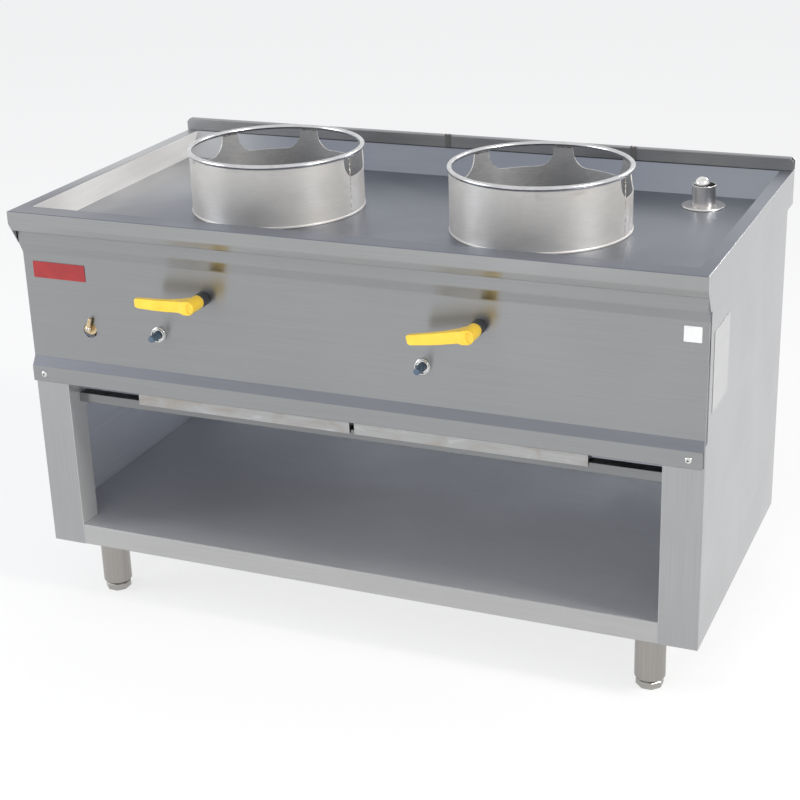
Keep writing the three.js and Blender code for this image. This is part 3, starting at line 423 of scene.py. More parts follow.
# The left wall inside is a much lighter and warmer copy of the steel: painted sunlight.
wall_painted_sunlight = brushed("basin_wall_steel", (0.76, 0.75, 0.735), 1, 2, 0.3, 0.05, 0.1, 0.6, 0.25)
finishes = [fascia_steel, blasted_painted_light, wall_painted_sunlight, side_steel_painted_light, front_rim_painted_sky, side_rim_painted_light]
BASIN_HALF, BASIN_FRONT = 676 * MM, FRONT_RIM + 44 * MM
SIDE_RIM_HALF, SIDE_RIM_FRONT = 672 * MM, FRONT_RIM + 30 * MM
ABOVE_WELLS = 0.8
worktop = dressed("worktop", finishes, "stainless", runs="xy")
for face in worktop.data.polygons:
    x, y, z = face.center
    inside = abs(x) < BASIN_HALF and y > BASIN_FRONT
    # The inside faces that face right, on the left wall, take the painted sunlight.
    if inside and face.normal.x > 0.7 and z > ABOVE_WELLS:
        face.material_index = finishes.index(wall_painted_sunlight)
    elif inside:
        face.material_index = finishes.index(blasted_painted_light)
    elif face.normal.z > 0.6:
        on_side = abs(x) > SIDE_RIM_HALF and y > SIDE_RIM_FRONT
        face.material_index = finishes.index(side_rim_painted_light if on_side else front_rim_painted_sky)
    elif abs(face.normal.x) > 0.6:
        face.material_index = finishes.index(side_steel_painted_light)

# ---------------------------------------------------------------------------
# Upstand: one folded strip along the back, with two clips hooked over its top
# edge that cover the joints in it.
# ---------------------------------------------------------------------------
upstand_steel = brushed("upstand_steel", (0.31, 0.315, 0.325), 0, 2, 0.34, 0.08, 0.15)
dressed("splashback", upstand_steel, "stainless", runs="x")
zinc = Finish("zinc_plate", 1.0, 0.45)
spangle = zinc.node("ShaderNodeTexVoronoi", Scale=55.0, feature="F1")
wire(zinc.tree, [(zinc.place, spangle.inputs["Vector"])])
cloud = zinc.noise((8, 8, 8), 4, 0.5)
tone = zinc.mix(zinc.ramp(spangle.outputs["Distance"], 0.1, 0.7), (0.36, 0.365, 0.37), (0.46, 0.465, 0.47))
tone = zinc.mix(zinc.ramp(cloud, 0.35, 0.7, 0, 0.5), tone, (0.3, 0.3, 0.3))
zinc = zinc.wear(tone, zinc.ramp(cloud, 0.3, 0.7, 0.36, 0.52), zinc.height(cloud, 0.0002, 0.15))
clip_steel = brushed("clip_steel", (0.28, 0.275, 0.27), 2, 0, 0.4, 0.08, 0.2)
for side in ("left", "right"):
    dressed("splash_clip_" + side, clip_steel, "galvanised", edge=0.2 * MM, bend=0.8 * MM)

# ---------------------------------------------------------------------------
# Front panel: one brushed sheet folded back above and below the controls, hooked
# under the rim and held by a cross-head screw at each end of its lower lip.
# ---------------------------------------------------------------------------
panel_steel = brushed("panel_steel", (0.32, 0.325, 0.331), 0, 2, 0.27, 0.03, 0.03, 0.8)
# The ledges that face upward are a darker copy of the panel's steel: painted shade.
ledge_painted_shade = brushed("panel_ledge_steel", (0.225, 0.235, 0.265), 0, 2, 0.3, 0.035, 0.06, 0.6)
panel = dressed("front_panel", [panel_steel, ledge_painted_shade], "stainless", bend=2.4 * MM, runs="x")
for face in panel.data.polygons:
    if face.normal.z > 0.3 and face.normal.y < -0.2:
        face.material_index = 1


def node_tree(name, sizes):
    """A geometry tree with its sizes as named inputs, and a way to add a linked node to it."""
    tree = bpy.data.node_groups.new(name, "GeometryNodeTree")
    tree.interface.new_socket("Places", in_out="INPUT", socket_type="NodeSocketGeometry")
    for size, value in sizes.items():
        made = tree.interface.new_socket(size, in_out="INPUT", socket_type="NodeSocketFloat")
        made.default_value = value
    tree.interface.new_socket("Finish", in_out="INPUT", socket_type="NodeSocketMaterial")
    tree.interface.new_socket("Made", in_out="OUTPUT", socket_type="NodeSocketGeometry")
    given = tree.nodes.new("NodeGroupInput").outputs

    def add(kind, inputs=None, **settings):
        made = tree.nodes.new(kind)
        for key, value in settings.items():
            setattr(made, key, value)
        for key, value in (inputs or {}).items():
            if isinstance(value, bpy.types.NodeSocket):
                tree.links.new(value, made.inputs[key])
            else:
                made.inputs[key].default_value = value
        return made

    return tree, given, add


def on_every_point(tree, given, add, shape, scale=None):
    """One copy of a shape on every given point, turned to face along the point's own direction."""
    facing = add("GeometryNodeInputNamedAttribute", {"Name": "facing"}, data_type="FLOAT_VECTOR")
    turned = add("FunctionNodeAlignRotationToVector", {"Vector": facing.outputs["Attribute"]}, axis="Z")
    points = add("GeometryNodeMeshToPoints", {"Mesh": given["Places"]})
    inputs = {"Points": points.outputs[0], "Instance": shape, "Rotation": turned.outputs[0]}
    if scale is not None:
        inputs["Scale"] = scale
    put = add("GeometryNodeInstanceOnPoints", inputs)
    real = add("GeometryNodeRealizeInstances", {"Geometry": put.outputs[0]})
    done = add("GeometryNodeSetMaterial", {"Geometry": real.outputs[0], "Material": given["Finish"]})
    tree.links.new(done.outputs[0], tree.nodes.new("NodeGroupOutput").inputs[0])
    return tree


# The cross in a screw's head, in shares of the head's width.
CROSS_LONG, CROSS_WIDE, CROSS_BLOCK, CROSS_RISE = 0.62, 0.15, 0.9, 0.54


def head_tree(name, across, height, sides, crossed):
    """Screw or rivet heads: a nut where sides are given, otherwise a dome, crossed or plain."""
    tree, given, add = node_tree(name, {"Across": across, "Height": height})

    def product(value, factor):
        return add("ShaderNodeMath", {0: value, 1: factor}, operation="MULTIPLY").outputs[0]

    def raised(shape, rise):
        shift = add("ShaderNodeCombineXYZ", {"Z": rise}).outputs[0]
        return add("GeometryNodeTransform", {"Geometry": shape, "Translation": shift}).outputs[0]

    radius = product(given["Across"], 0.5)
    if sides:
        prism = {"Vertices": sides, "Radius": radius, "Depth": given["Height"]}
        nut = add("GeometryNodeMeshCylinder", prism).outputs["Mesh"]
        return on_every_point(tree, given, add, raised(nut, product(given["Height"], 0.5)))

    ball = add("GeometryNodeMeshUVSphere", {"Segments": 28, "Rings": 14, "Radius": radius}).outputs["Mesh"]
    flat = add("ShaderNodeMath", {0: given["Height"], 1: radius}, operation="DIVIDE").outputs[0]
    squash = add("ShaderNodeCombineXYZ", {"X": 1.0, "Y": 1.0, "Z": flat}).outputs[0]
    dome = add("GeometryNodeTransform", {"Geometry": ball, "Scale": squash}).outputs[0]
    wide = add("ShaderNodeCombineXYZ", {axis: given["Across"] for axis in "XYZ"}).outputs[0]

    def block(shares, rise):
        size = add("ShaderNodeVectorMath", {0: wide, 1: shares}, operation="MULTIPLY").outputs[0]
        shape = add("GeometryNodeMeshCube", {"Size": size}).outputs["Mesh"]
        return raised(shape, product(given["Across"], rise))

    cutters = [block((2, 2, 2), -1.0)]
    if crossed:
        cutters.append(block((CROSS_LONG, CROSS_WIDE, CROSS_BLOCK), CROSS_RISE))
        cutters.append(block((CROSS_WIDE, CROSS_LONG, CROSS_BLOCK), CROSS_RISE))
    trimmed = add("GeometryNodeMeshBoolean", {"Mesh 1": dome}, operation="DIFFERENCE")
    for cutter in cutters:
        tree.links.new(cutter, trimmed.inputs["Mesh 2"])
    return on_every_point(tree, given, add, trimmed.outputs["Mesh"])


def fastened(name, tree, finish, slot, body, spots, smooth=30, **sizes):
    """Puts a head on each spot, a place and the way it faces, and makes them one plain mesh."""
    mesh = bpy.data.meshes.new(name)
    mesh.from_pydata([placed(place) for place, _ in spots], [], [])
    facing = mesh.attributes.new("facing", "FLOAT_VECTOR", "POINT")
    for item, (_, way) in zip(facing.data, spots):
        item.vector = way
    piece = bpy.data.objects.new(name, mesh)
    scene.collection.objects.link(piece)
    heads = piece.modifiers.new("heads", "NODES")
    heads.node_group = tree
    wanted = {"Finish": finish, **sizes}
    for item in tree.interface.items_tree:
        if item.in_out == "INPUT" and item.name in wanted:
            heads[item.identifier] = wanted[item.name]
    settle(piece, smooth)
    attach(piece, body)
    return piece


chrome = Finish("bright_plate", 1.0, 0.14)
smear = chrome.noise((80, 80, 80), 3)
tone = chrome.mix(chrome.ramp(smear, 0.4, 0.7), (0.68, 0.68, 0.67), (0.8, 0.8, 0.79))
chrome = chrome.wear(tone, chrome.ramp(smear, 0.3, 0.7, 0.1, 0.22), chrome.height(smear, 0.0001, 0.1))
cross_head = head_tree("cross_head_screw", 13 * MM, 3 * MM, 0, True)
AHEAD, BEHIND, BELOW = (0, -1, 0), (0, 1, 0), (0, 0, -1)
cabinet = solids["front_panel"]["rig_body"]
lip_spots = [((x, 21.2, 512), AHEAD) for x in (-670, 670)]
fastened("lip_screws", cross_head, chrome, "polished_steel", cabinet, lip_spots)

# ---------------------------------------------------------------------------
# Side panels: each one sheet, bent round the front into a stile and its return,
# and at the back into a flange. The sides are brushed along, the stiles upright.
# ---------------------------------------------------------------------------
stile_steel = brushed("stile_steel", (0.42, 0.425, 0.43), 2, 0, 0.3, 0.05, 0.1)
# The faces inside the bay and the stiles' returns are far lighter copies of the steel: painted light in the
# shaded bay.
inner_painted_light = brushed("inner_side_steel", (0.84, 0.86, 0.92), 1, 2, 0.42, 0.04, 0.1, 0.5, 0.6)
return_painted_light = brushed("stile_return_steel", (0.68, 0.68, 0.67), 2, 1, 0.32, 0.06, 0.3, 0.5, 0.5)
RETURN_REAR, RETURN_X, FLANGE_X = FRONT_RIM + 90 * MM, 0.64, 0.69
finishes = [side_steel_painted_light, stile_steel, inner_painted_light, return_painted_light]
for side in ("left", "right"):
    panel = dressed("side_panel_" + side, finishes, "stainless", bend=2.4 * MM, runs="z")
    for face in panel.data.polygons:
        x, y, _ = face.center
        inward = face.normal.x * x < 0
        if inward and y < RETURN_REAR and abs(x) < RETURN_X:
            face.material_index = finishes.index(return_painted_light)
        elif abs(face.normal.y) > 0.6 or abs(x) < FLANGE_X:
            face.material_index = finishes.index(stile_steel)
        elif inward:
            face.material_index = finishes.index(inner_painted_light)

# ---------------------------------------------------------------------------
# Back panel and shelf: plain sheet let in between the sides. The back is riveted
# round its edge; the shelf is turned down all round, with a deeper front lip.
# ---------------------------------------------------------------------------
# The back's face into the bay is far lighter than its zinc rear face: painted light in the shaded bay.
back_painted_light = brushed("back_painted_light", (0.83, 0.86, 0.93), 0, 2, 0.42, 0.04, 0.1, 0.5, 0.6)
back = dressed("back_panel", [back_painted_light, zinc], "galvanised", runs="x")
for face in back.data.polygons:
    if face.normal.y > 0.1:
        face.material_index = 1
# The shelf's top is painted lighter than its lip: painted light in the bay.
shelf_top_painted_light = brushed("shelf_top_painted_light", (0.63, 0.635, 0.66), 0, 1, 0.34, 0.04, 0.1, 0.6, 0.6)
lip_steel = brushed("shelf_lip_steel", (0.49, 0.49, 0.49), 0, 2, 0.3, 0.05, 0.08)
shelf = dressed("bottom_shelf", [shelf_top_painted_light, lip_steel], "stainless", runs="x")
for face in shelf.data.polygons:
    if face.normal.y < -0.4:
        face.material_index = 1
blind_rivet = head_tree("blind_rivet", 9 * MM, 1.6 * MM, 0, False)
RIVET_Y = 697.8  # the middle of the heads, which sink a millimetre into the panel
rivets = [((x, RIVET_Y, z), BEHIND) for z in (196, 796) for x in range(-640, 641, 160)]
rivets += [((x, RIVET_Y, z), BEHIND) for x in (-655, 655) for z in range(316, 677, 120)]
fastened("back_rivets", blind_rivet, zinc, "galvanised", cabinet, rivets)

# ---------------------------------------------------------------------------
# Tray rails and trays: folded rails across the bay, and two loose pans whose
# fronts hang down over the front rail, stained by heat and grease.
# ---------------------------------------------------------------------------
rail_steel = brushed("rail_steel", (0.24, 0.245, 0.25), 0, 2, 0.32)
dressed("tray_rail_front", rail_steel, "stainless", runs="x")
dressed("tray_rail_rear", zinc, "galvanised", runs="x")
stained = Finish("stained_tray_steel", 1.0, 0.38, Anisotropic=0.4)
blotch = stained.noise((14, 14, 26), 5, 1.2)
fine = stained.noise((8, 60, 600), 3)
tone = stained.mix(stained.ramp(fine, 0.3, 0.7), (0.4, 0.4, 0.4), (0.45, 0.45, 0.45))
tone = stained.mix(stained.ramp(blotch, 0.45, 0.7, 0, 0.55), tone, (0.42, 0.36, 0.3))
tone = stained.mix(stained.ramp(blotch, 0.3, 0.42, 0.5, 0), tone, (0.55, 0.55, 0.56))
gloss = stained.ramp(blotch, 0.3, 0.7, 0.3, 0.5)
stained = stained.wear(tone, gloss, stained.height(blotch, 0.0002, 0.15), (0, 0, 1))
for side in ("left", "right"):
    dressed("drip_tray_" + side, stained, "stainless", edge=0.3 * MM, bend=0.45 * MM, runs="x")

# ---------------------------------------------------------------------------
# Legs and feet: galvanised tube drawn in at the bottom round a screwed stem, whose
# eight-sided stainless nut is the foot. Each leg's plate is bolted under the shelf.
# ---------------------------------------------------------------------------


def built(form, name, *finishes):
    """Turns a drawn form into an object whose faces all point outwards."""
    bmesh.ops.recalc_face_normals(form, faces=form.faces)
    mesh = bpy.data.meshes.new(name)
    form.to_mesh(mesh)
    form.free()
    for finish in finishes:
        mesh.materials.append(finish)
    piece = bpy.data.objects.new(name, mesh)
    scene.collection.objects.link(piece)
    return piece


def soften_edges(piece, width, least_turn, segments):
    soft = piece.modifiers.new("soft_edges", "BEVEL")
    soft.limit_method, soft.angle_limit = "ANGLE", math.radians(least_turn)
    soft.width, soft.segments = width, segments
    return piece


def lathed(name, profile, centre, finish, slot, *nodes, facing="z", edge=0.6 * MM, sides=96, smooth=35):
    """Spins an outline of radius and height about an upright axis, or about one that faces the front."""
    form = bmesh.new()
    rings = []
    for radius, high in profile:
        turns = sides if radius > 0 else 1
        ring = []
        for i in range(turns):
            angle = 2 * math.pi * i / sides
            across, along = radius * math.cos(angle), radius * math.sin(angle)
            spot = (across, along, high) if facing == "z" else (across, -high, along)
            ring.append(form.verts.new(placed(Vector(spot) + Vector(centre))))
        rings.append(ring)
    closed = profile[0][0] > 0
    for near, far in zip(rings, rings[1:] + (rings[:1] if closed else [])):
        for i in range(sides):
            j = (i + 1) % sides
            corners = []
            for vert in (near[i % len(near)], near[j % len(near)], far[j % len(far)], far[i % len(far)]):
                if vert not in corners:
                    corners.append(vert)
            if len(corners) > 2:
                form.faces.new(corners)
    piece = soften_edges(built(form, name, finish), edge, 30, 3)
    return stand_in(settle(piece, smooth), slot, *nodes)


LEG_X, LEG_Y = 592.6, {"front": 96, "rear": 634}
LEG_R, LEG_BORE, STEM_HOLE = 30, 28, 10.3
LEG_LOW, LEG_TOP = 17, 171.2
PLATE_DEEP, PLATE_REACH, BOLT_OFF = 3, 6, 38
LEG_CHAMFER, LEG_INSIDE_LOW = 5, 24
LEG_PROFILE = [(STEM_HOLE, LEG_LOW), (LEG_R - LEG_CHAMFER, LEG_LOW), (LEG_R, LEG_LOW + LEG_CHAMFER)]
LEG_PROFILE += [(LEG_R, LEG_TOP - PLATE_DEEP), (LEG_R, LEG_TOP), (LEG_BORE, LEG_TOP)]
LEG_PROFILE += [(LEG_BORE, LEG_INSIDE_LOW), (STEM_HOLE, LEG_INSIDE_LOW)]
leg_steel = brushed("leg_steel", (0.37, 0.355, 0.335), 2, 0, 0.26, 0.06, 0.15, 0.3)
foot_steel = brushed("foot_steel", (0.4, 0.39, 0.37), 0, 2, 0.3, 0.08, 0.15, 0.2)
hex_head = head_tree("hex_head", 13 * MM, 5 * MM, 6, False)
bolts = []
for row, y in LEG_Y.items():
    for side, hand in (("left", -1), ("right", 1)):
        corner = row + "_" + side
        node = "leg_" + corner
        x = hand * LEG_X
        lathed("leg_tube_" + corner, LEG_PROFILE, (x, y, 0), leg_steel, "galvanised", node, edge=1 * MM)
        # The plate is what is left of the solid once its tube is taken off.
        plate = dressed(node, zinc, "galvanised", bend=1 * MM)
        keep = bmesh.new()
        keep.from_mesh(plate.data)
        tube = [v for v in keep.verts if v.co.z < (LEG_TOP - PLATE_REACH) * MM]
        bmesh.ops.delete(keep, geom=tube, context="VERTS")
        keep.to_mesh(plate.data)
        keep.free()
        dressed("foot_" + corner, foot_steel, "stainless", bend=1 * MM)
        for dx in (-BOLT_OFF, BOLT_OFF):
            for dy in (-BOLT_OFF, BOLT_OFF):
                bolts.append(((x + dx, y + dy, LEG_TOP - PLATE_DEEP), BELOW))
fastened("leg_plate_bolts", hex_head, zinc, "galvanised", cabinet, bolts)

# ---------------------------------------------------------------------------
# Burners: cast bowl, mixing tube and loose crown, hung on a zinc strap under the
# floor, with a pilot, a ceramic spark electrode and its lead beside each.
# ---------------------------------------------------------------------------
iron = Finish("cast_iron", 0.75, 0.7)
grit = iron.noise((260, 260, 260), 4)
rust = iron.noise((22, 22, 22), 4, 1.0)
tone = iron.mix(iron.ramp(grit, 0.35, 0.7), (0.035, 0.034, 0.033), (0.085, 0.082, 0.08))
tone = iron.mix(iron.ramp(rust, 0.55, 0.75, 0, 0.5), tone, (0.13, 0.065, 0.035))
iron = iron.wear(tone, iron.ramp(grit, 0.3, 0.7, 0.55, 0.8), iron.height(grit, 0.0006, 0.6))
brass = Finish("turned_brass", 1.0, 0.28)
turning = brass.noise((300, 1200, 300), 3)
tarnish = brass.noise((60, 60, 60), 3, 0.6)
tone = brass.mix(brass.ramp(turning, 0.3, 0.7), (0.56, 0.43, 0.25), (0.7, 0.57, 0.37))
tone = brass.mix(brass.ramp(tarnish, 0.5, 0.75, 0, 0.6), tone, (0.28, 0.19, 0.09))
brass = brass.wear(tone, brass.ramp(tarnish, 0.3, 0.7, 0.28, 0.38), brass.height(turning, 0.00005, 0.4))
glaze = Finish("glazed_ceramic", 0.0, 0.25, Coat_Weight=0.4)
spots = glaze.noise((400, 400, 400), 3)
tone = glaze.mix(glaze.ramp(spots, 0.4, 0.65), (0.72, 0.69, 0.62), (0.82, 0.79, 0.72))
glaze = glaze.wear(tone, None, glaze.height(spots, 0.0001, 0.2))
rubber = Finish("lead_rubber", 0.0, 0.55)
skin = rubber.noise((500, 500, 500), 3)
tone = rubber.mix(rubber.ramp(skin, 0.3, 0.7), (0.018, 0.018, 0.02), (0.04, 0.04, 0.043))
rubber = rubber.wear(tone, rubber.ramp(skin, 0.3, 0.7, 0.45, 0.65), rubber.height(skin, 0.0001, 0.3))
for side in ("left", "right"):
    dressed("burner_body_" + side, iron, "cast_iron", bend=1.5 * MM, runs="")
    dressed("mixing_tube_" + side, iron, "cast_iron", bend=1 * MM, runs="")
    dressed("burner_crown_" + side, iron, "cast_iron", bend=1.5 * MM, runs="")
    dressed("burner_strap_" + side, zinc, "galvanised", bend=3 * MM, runs="y")
    dressed("pilot_burner_" + side, brass, "brass", edge=0.3 * MM)
    dressed("spark_electrode_" + side, glaze, "ceramic", edge=0.2 * MM)
    dressed("ignition_lead_" + side, rubber, "black_plastic", edge=0.2 * MM)

# ---------------------------------------------------------------------------
# Gas train: galvanised manifold with a brass ball valve for each burner, the
# supply pipes and their injectors, and the small pilot line.
# ---------------------------------------------------------------------------
dressed("gas_manifold", zinc, "galvanised", bend=1 * MM, runs="")
dressed("pilot_pipe", brass, "brass", edge=0.2 * MM, runs="")
for side in ("left", "right"):
    dressed("gas_valve_" + side, brass, "brass", runs="")
    dressed("supply_pipe_" + side, brass, "brass", runs="")
    dressed("valve_stem_" + side, foot_steel, "stainless", runs="")

# ---------------------------------------------------------------------------
# Valve levers: cast handles in yellow enamel, each on a black collar. The hub is
# braced to the arm, with soft moulded edges everywhere and an oval in its nose.
# ---------------------------------------------------------------------------
LEVERS = {"left": (-289, 711), "right": (277, 716)}
enamel = Finish("yellow_enamel", 0.0, 0.32, Coat_Weight=0.25)
peel = enamel.noise((220, 220, 220), 3)
cloud = enamel.noise((25, 25, 25), 3)
tone = enamel.mix(enamel.ramp(cloud, 0.3, 0.7), (0.78, 0.5, 0.03), (0.85, 0.57, 0.045))
enamel = enamel.wear(tone, enamel.ramp(peel, 0.3, 0.7, 0.28, 0.4), enamel.height(peel, 0.0001, 0.35))
black = Finish("black_moulding", 0.0, 0.42)
skin = black.noise((900, 900, 900), 2)
tone = black.mix(black.ramp(skin, 0.3, 0.7), (0.022, 0.023, 0.026), (0.045, 0.047, 0.051))
black = black.wear(tone, black.ramp(skin, 0.3, 0.7, 0.35, 0.5), black.height(skin, 0.00005, 0.3))
COLLAR = [(5.3, -9.8), (13, -9.8), (14, -11.5), (14, -33.2), (9.7, -33.2), (9.7, -41.5), (5.3, -41.5)]
GRAIN = 0.6 * MM  # how fine the casting's skin is made
TIP_LONG, TIP_PASSES = 7 * MM, 22
for side, (x, z) in LEVERS.items():
    handle = bpy.data.objects.new("valve_lever_cast_" + side, solids["valve_lever_" + side].data.copy())
    scene.collection.objects.link(handle)
    handle.data.materials.clear()
    handle.data.materials.append(enamel)
    skin_over = handle.modifiers.new("cast_skin", "REMESH")
    skin_over.mode, skin_over.voxel_size = "VOXEL", GRAIN
    soften = handle.modifiers.new("soft_edges", "SMOOTH")
    soften.factor, soften.iterations = 0.5, 6
    settle(handle, 180)
    # The arm's end is rounder than the rest of the casting.
    cast = bmesh.new()
    cast.from_mesh(handle.data)
    arm_end = min(vert.co.x for vert in cast.verts)
    tip = [vert for vert in cast.verts if vert.co.x < arm_end + TIP_LONG]
    for _ in range(TIP_PASSES):
        bmesh.ops.smooth_vert(cast, verts=tip, factor=0.5, use_axis_x=True, use_axis_y=True, use_axis_z=True)
    cast.to_mesh(handle.data)
    cast.free()
    stand_in(handle, "yellow_enamel", "valve_lever_" + side)
    node = "lever_collar_" + side
    lathed(node + "_moulded", COLLAR, (x, 0, z), black, "black_plastic", node, facing="y", edge=0.4 * MM)

# ---------------------------------------------------------------------------
# Igniters: push buttons of slate-blue plastic in sleeves of the same, which reach
# back behind the panel. A bright turned bezel clamps each to the panel's face.
# ---------------------------------------------------------------------------
IGNITERS = {"left": (-395, 625.5), "right": (165.5, 625.5)}
slate = Finish("slate_moulding", 0.0, 0.35)
skin = slate.noise((700, 700, 700), 2)
tone = slate.mix(slate.ramp(skin, 0.3, 0.7), (0.06, 0.09, 0.13), (0.088, 0.132, 0.185))
slate = slate.wear(tone, slate.ramp(skin, 0.3, 0.7, 0.3, 0.42), slate.height(skin, 0.00005, 0.3))
BEZEL = [(8.5, -33.2), (15, -33.2), (15, -29.5), (13.8, -28.8), (14.6, -27.6), (14.6, -24.5)]
BEZEL += [(13.6, -23.5), (12, -23.5), (11.4, -28), (8.5, -28)]
SLEEVE = [(0, -86), (3.5, -86), (3.5, -80), (10, -80), (10, -39.3), (12.5, -39.3), (12.5, -35.3)]
SLEEVE += [(8.2, -35.3), (8.2, -16), (7, -16), (7, -32), (0, -32)]
BUTTON = [(0, -23), (6.6, -23), (6.6, -0.4), (6.1, 0.5), (5, 0.9), (0, 1)]
for side, (x, z) in IGNITERS.items():
    for part, outline, finish, slot in (
        ("bezel", BEZEL, chrome, "polished_steel"),
        ("body", SLEEVE, slate, "slate_plastic"),
        ("button", BUTTON, slate, "slate_plastic"),
    ):
        node = "igniter_%s_%s" % (part, side)
        lathed(node + "_turned", outline, (x, 0, z), finish, slot, node, facing="y", edge=0.35 * MM)

# ---------------------------------------------------------------------------
# Pilot cock: brass taper cock in a round hole, turned by a stub lever that a
# small bright cross-head screw holds on.
# ---------------------------------------------------------------------------
dressed("pilot_cock_body", brass, "brass", edge=0.4 * MM, runs="")
dressed("pilot_cock_lever", brass, "brass", edge=0.7 * MM, bend=0.7 * MM, runs="")
cock_body = solids["pilot_cock_lever"]["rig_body"]
spots = [((-556.5, 24.7, 620.5), AHEAD)]
small = {"Across": 8 * MM, "Height": 1.6 * MM}
fastened("cock_screw", cross_head, chrome, "polished_steel", cock_body, spots, **small)

# ---------------------------------------------------------------------------
# Plates on the front and side: a red enamelled badge, a small paper sticker and
# an aluminium rating plate. All of them are bare.
# ---------------------------------------------------------------------------
red = Finish("red_enamel", 0.0, 0.35, Coat_Weight=0.3)
cloud = red.noise((40, 40, 40), 3)
tone = red.mix(red.ramp(cloud, 0.3, 0.7), (0.27, 0.009, 0.011), (0.32, 0.014, 0.016))
red = red.wear(tone, red.ramp(cloud, 0.3, 0.7, 0.3, 0.42), red.height(cloud, 0.0002, 0.1))
paper = Finish("sticker_paper", 0.0, 0.5)
fibre = paper.noise((300, 300, 300), 4)
tone = paper.mix(paper.ramp(fibre, 0.3, 0.7), (0.7, 0.7, 0.685), (0.76, 0.76, 0.745))
paper = paper.wear(tone, None, paper.height(fibre, 0.00005, 0.3))
foil = Finish("plate_foil", 0.6, 0.4)
grain = foil.noise((12, 12, 500), 3)
tone = foil.mix(foil.ramp(grain, 0.3, 0.7), (0.5, 0.505, 0.51), (0.57, 0.575, 0.58))
foil = foil.wear(tone, foil.ramp(grain, 0.3, 0.7, 0.34, 0.46), foil.height(grain, 0.00005, 0.2))


def bare_plate(name, middle, wide, high, thick, corner, finish, on_side=False):
    """A thin plate with rounded corners, lying against the front, or against the right side."""
    form = bmesh.new()
    rim = []
    for sx, sz in ((1, 1), (-1, 1), (-1, -1), (1, -1)):
        start = math.degrees(math.atan2(sz, sx)) - 45
        for step in range(7):
            turn = math.radians(start + 15 * step)
            u = sx * (wide / 2 - corner) + corner * math.cos(turn)
            v = sz * (high / 2 - corner) + corner * math.sin(turn)
            rim.append((u, v))
    layers = []
    for out in (0, thick):
        layer = []
        for u, v in rim:
            spot = (out, u, v) if on_side else (u, -out, v)
            layer.append(form.verts.new(placed(Vector(spot) + Vector(middle))))
        layers.append(layer)
    form.faces.new(layers[0])
    form.faces.new(layers[1])
    for i in range(len(rim)):
        j = (i + 1) % len(rim)
        form.faces.new((layers[0][i], layers[0][j], layers[1][j], layers[1][i]))
    plate = soften_edges(built(form, name, finish), 0.3 * thick * MM, 50, 2)
    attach(settle(plate, 30), cabinet)


bare_plate("front_badge", (-615, 33.3, 734), 120, 34, 1, 2, red)
bare_plate("front_sticker", (668, 33.4, 743.5), 32, 29, 0.2, 1.5, paper)
bare_plate("rating_plate", (697.9, 128.5, 662), 117, 152, 0.5, 3, foil, on_side=True)

# ---------------------------------------------------------------------------
# Wok rings: each a strip of sheet rolled and welded up, with four windows cut
# round its back, a rod bent and welded round its top and a bead round its foot.
# ---------------------------------------------------------------------------
BURNERS = {"left": -284, "right": 284}
BURNER_Y = 362
RING_OUT, RING_IN = 177.5, 175.5
RING_LOW, ROD_Z, ROD_R = 808.3, 932.3, 5
ROD_RING_R = 176
FOOT_BEAD = [(1.6, 0), (1.6, 2.6), (1.2, 3.6), (0, 4.3)]  # out from the wall, and up from the foot
WALL_STEPS = 6
WINDOW_TURNS = (7.85, 64.95, 122.05, 179.15)
WINDOW_HALF, WINDOW_FLAT, WINDOW_LOW, WINDOW_SHOULDER = 67.2, 36, 886, 923
WINDOW_STEP = 0.8  # the run in which the sheet rises from the shoulder into the rod
FLARE = 19  # how far the window edge's curve is pulled towards its corner
COLUMN_TURNS = (36.4, 93.5, 150.6)
COLUMN_BLOBS, COLUMN_PITCH, WELD_DROP, WELD_PROUD = 19, 0.6, 5.2, 0.2
SEAM_TURN, SEAM_BLOBS, SEAM_PITCH = 352, 56, 2.05
SEAM_LOW, SEAM_SUNK, SEAM_WANDER = 7, 0.5, 0.2


def window_edge(across):
    """Height of the sheet's top edge, by the distance across from a window's middle."""
    across = abs(across)
    if across <= WINDOW_FLAT:
        return WINDOW_LOW
    if across >= WINDOW_HALF + WINDOW_STEP:
        return ROD_Z
    if across >= WINDOW_HALF:
        return WINDOW_SHOULDER + (ROD_Z - WINDOW_SHOULDER) * (across - WINDOW_HALF) / WINDOW_STEP
    low, high = 0.0, 1.0
    for _ in range(24):
        t = (low + high) / 2
        reach = WINDOW_HALF * (1 - t) ** 3 + 3 * WINDOW_HALF * t * (1 - t) ** 2
        reach += 3 * (WINDOW_FLAT + FLARE) * t * t * (1 - t) + WINDOW_FLAT * t**3
        low, high = (t, high) if reach > across else (low, t)
    rise = 3 * (WINDOW_LOW + FLARE) * t * (1 - t) ** 2 + 3 * WINDOW_LOW * t * t * (1 - t) + WINDOW_LOW * t**3
    return WINDOW_SHOULDER * (1 - t) ** 3 + rise


def ring_columns():
    """Turns round the ring and the sheet's height at each, close together where the window edges bend."""
    turns = {round(i * 2.5, 3) for i in range(144)}
    flank = [WINDOW_FLAT + (WINDOW_HALF - WINDOW_FLAT) * (k / 14) ** 0.7 for k in range(15)]
    for middle in WINDOW_TURNS:
        for across in [WINDOW_HALF + WINDOW_STEP] + flank:
            lean = math.degrees(math.asin(across / RING_OUT))
            turns |= {round((middle + lean) % 360, 3), round((middle - lean) % 360, 3)}
    columns = []
    for turn in sorted(turns):
        top = ROD_Z
        for middle in WINDOW_TURNS:
            lean = (turn - middle + 180) % 360 - 180
            if abs(lean) < 30:
                top = min(top, window_edge(RING_OUT * math.sin(math.radians(lean))))
        if not columns or turn - columns[-1][0] > 0.05:
            columns.append((turn, top))
    return columns


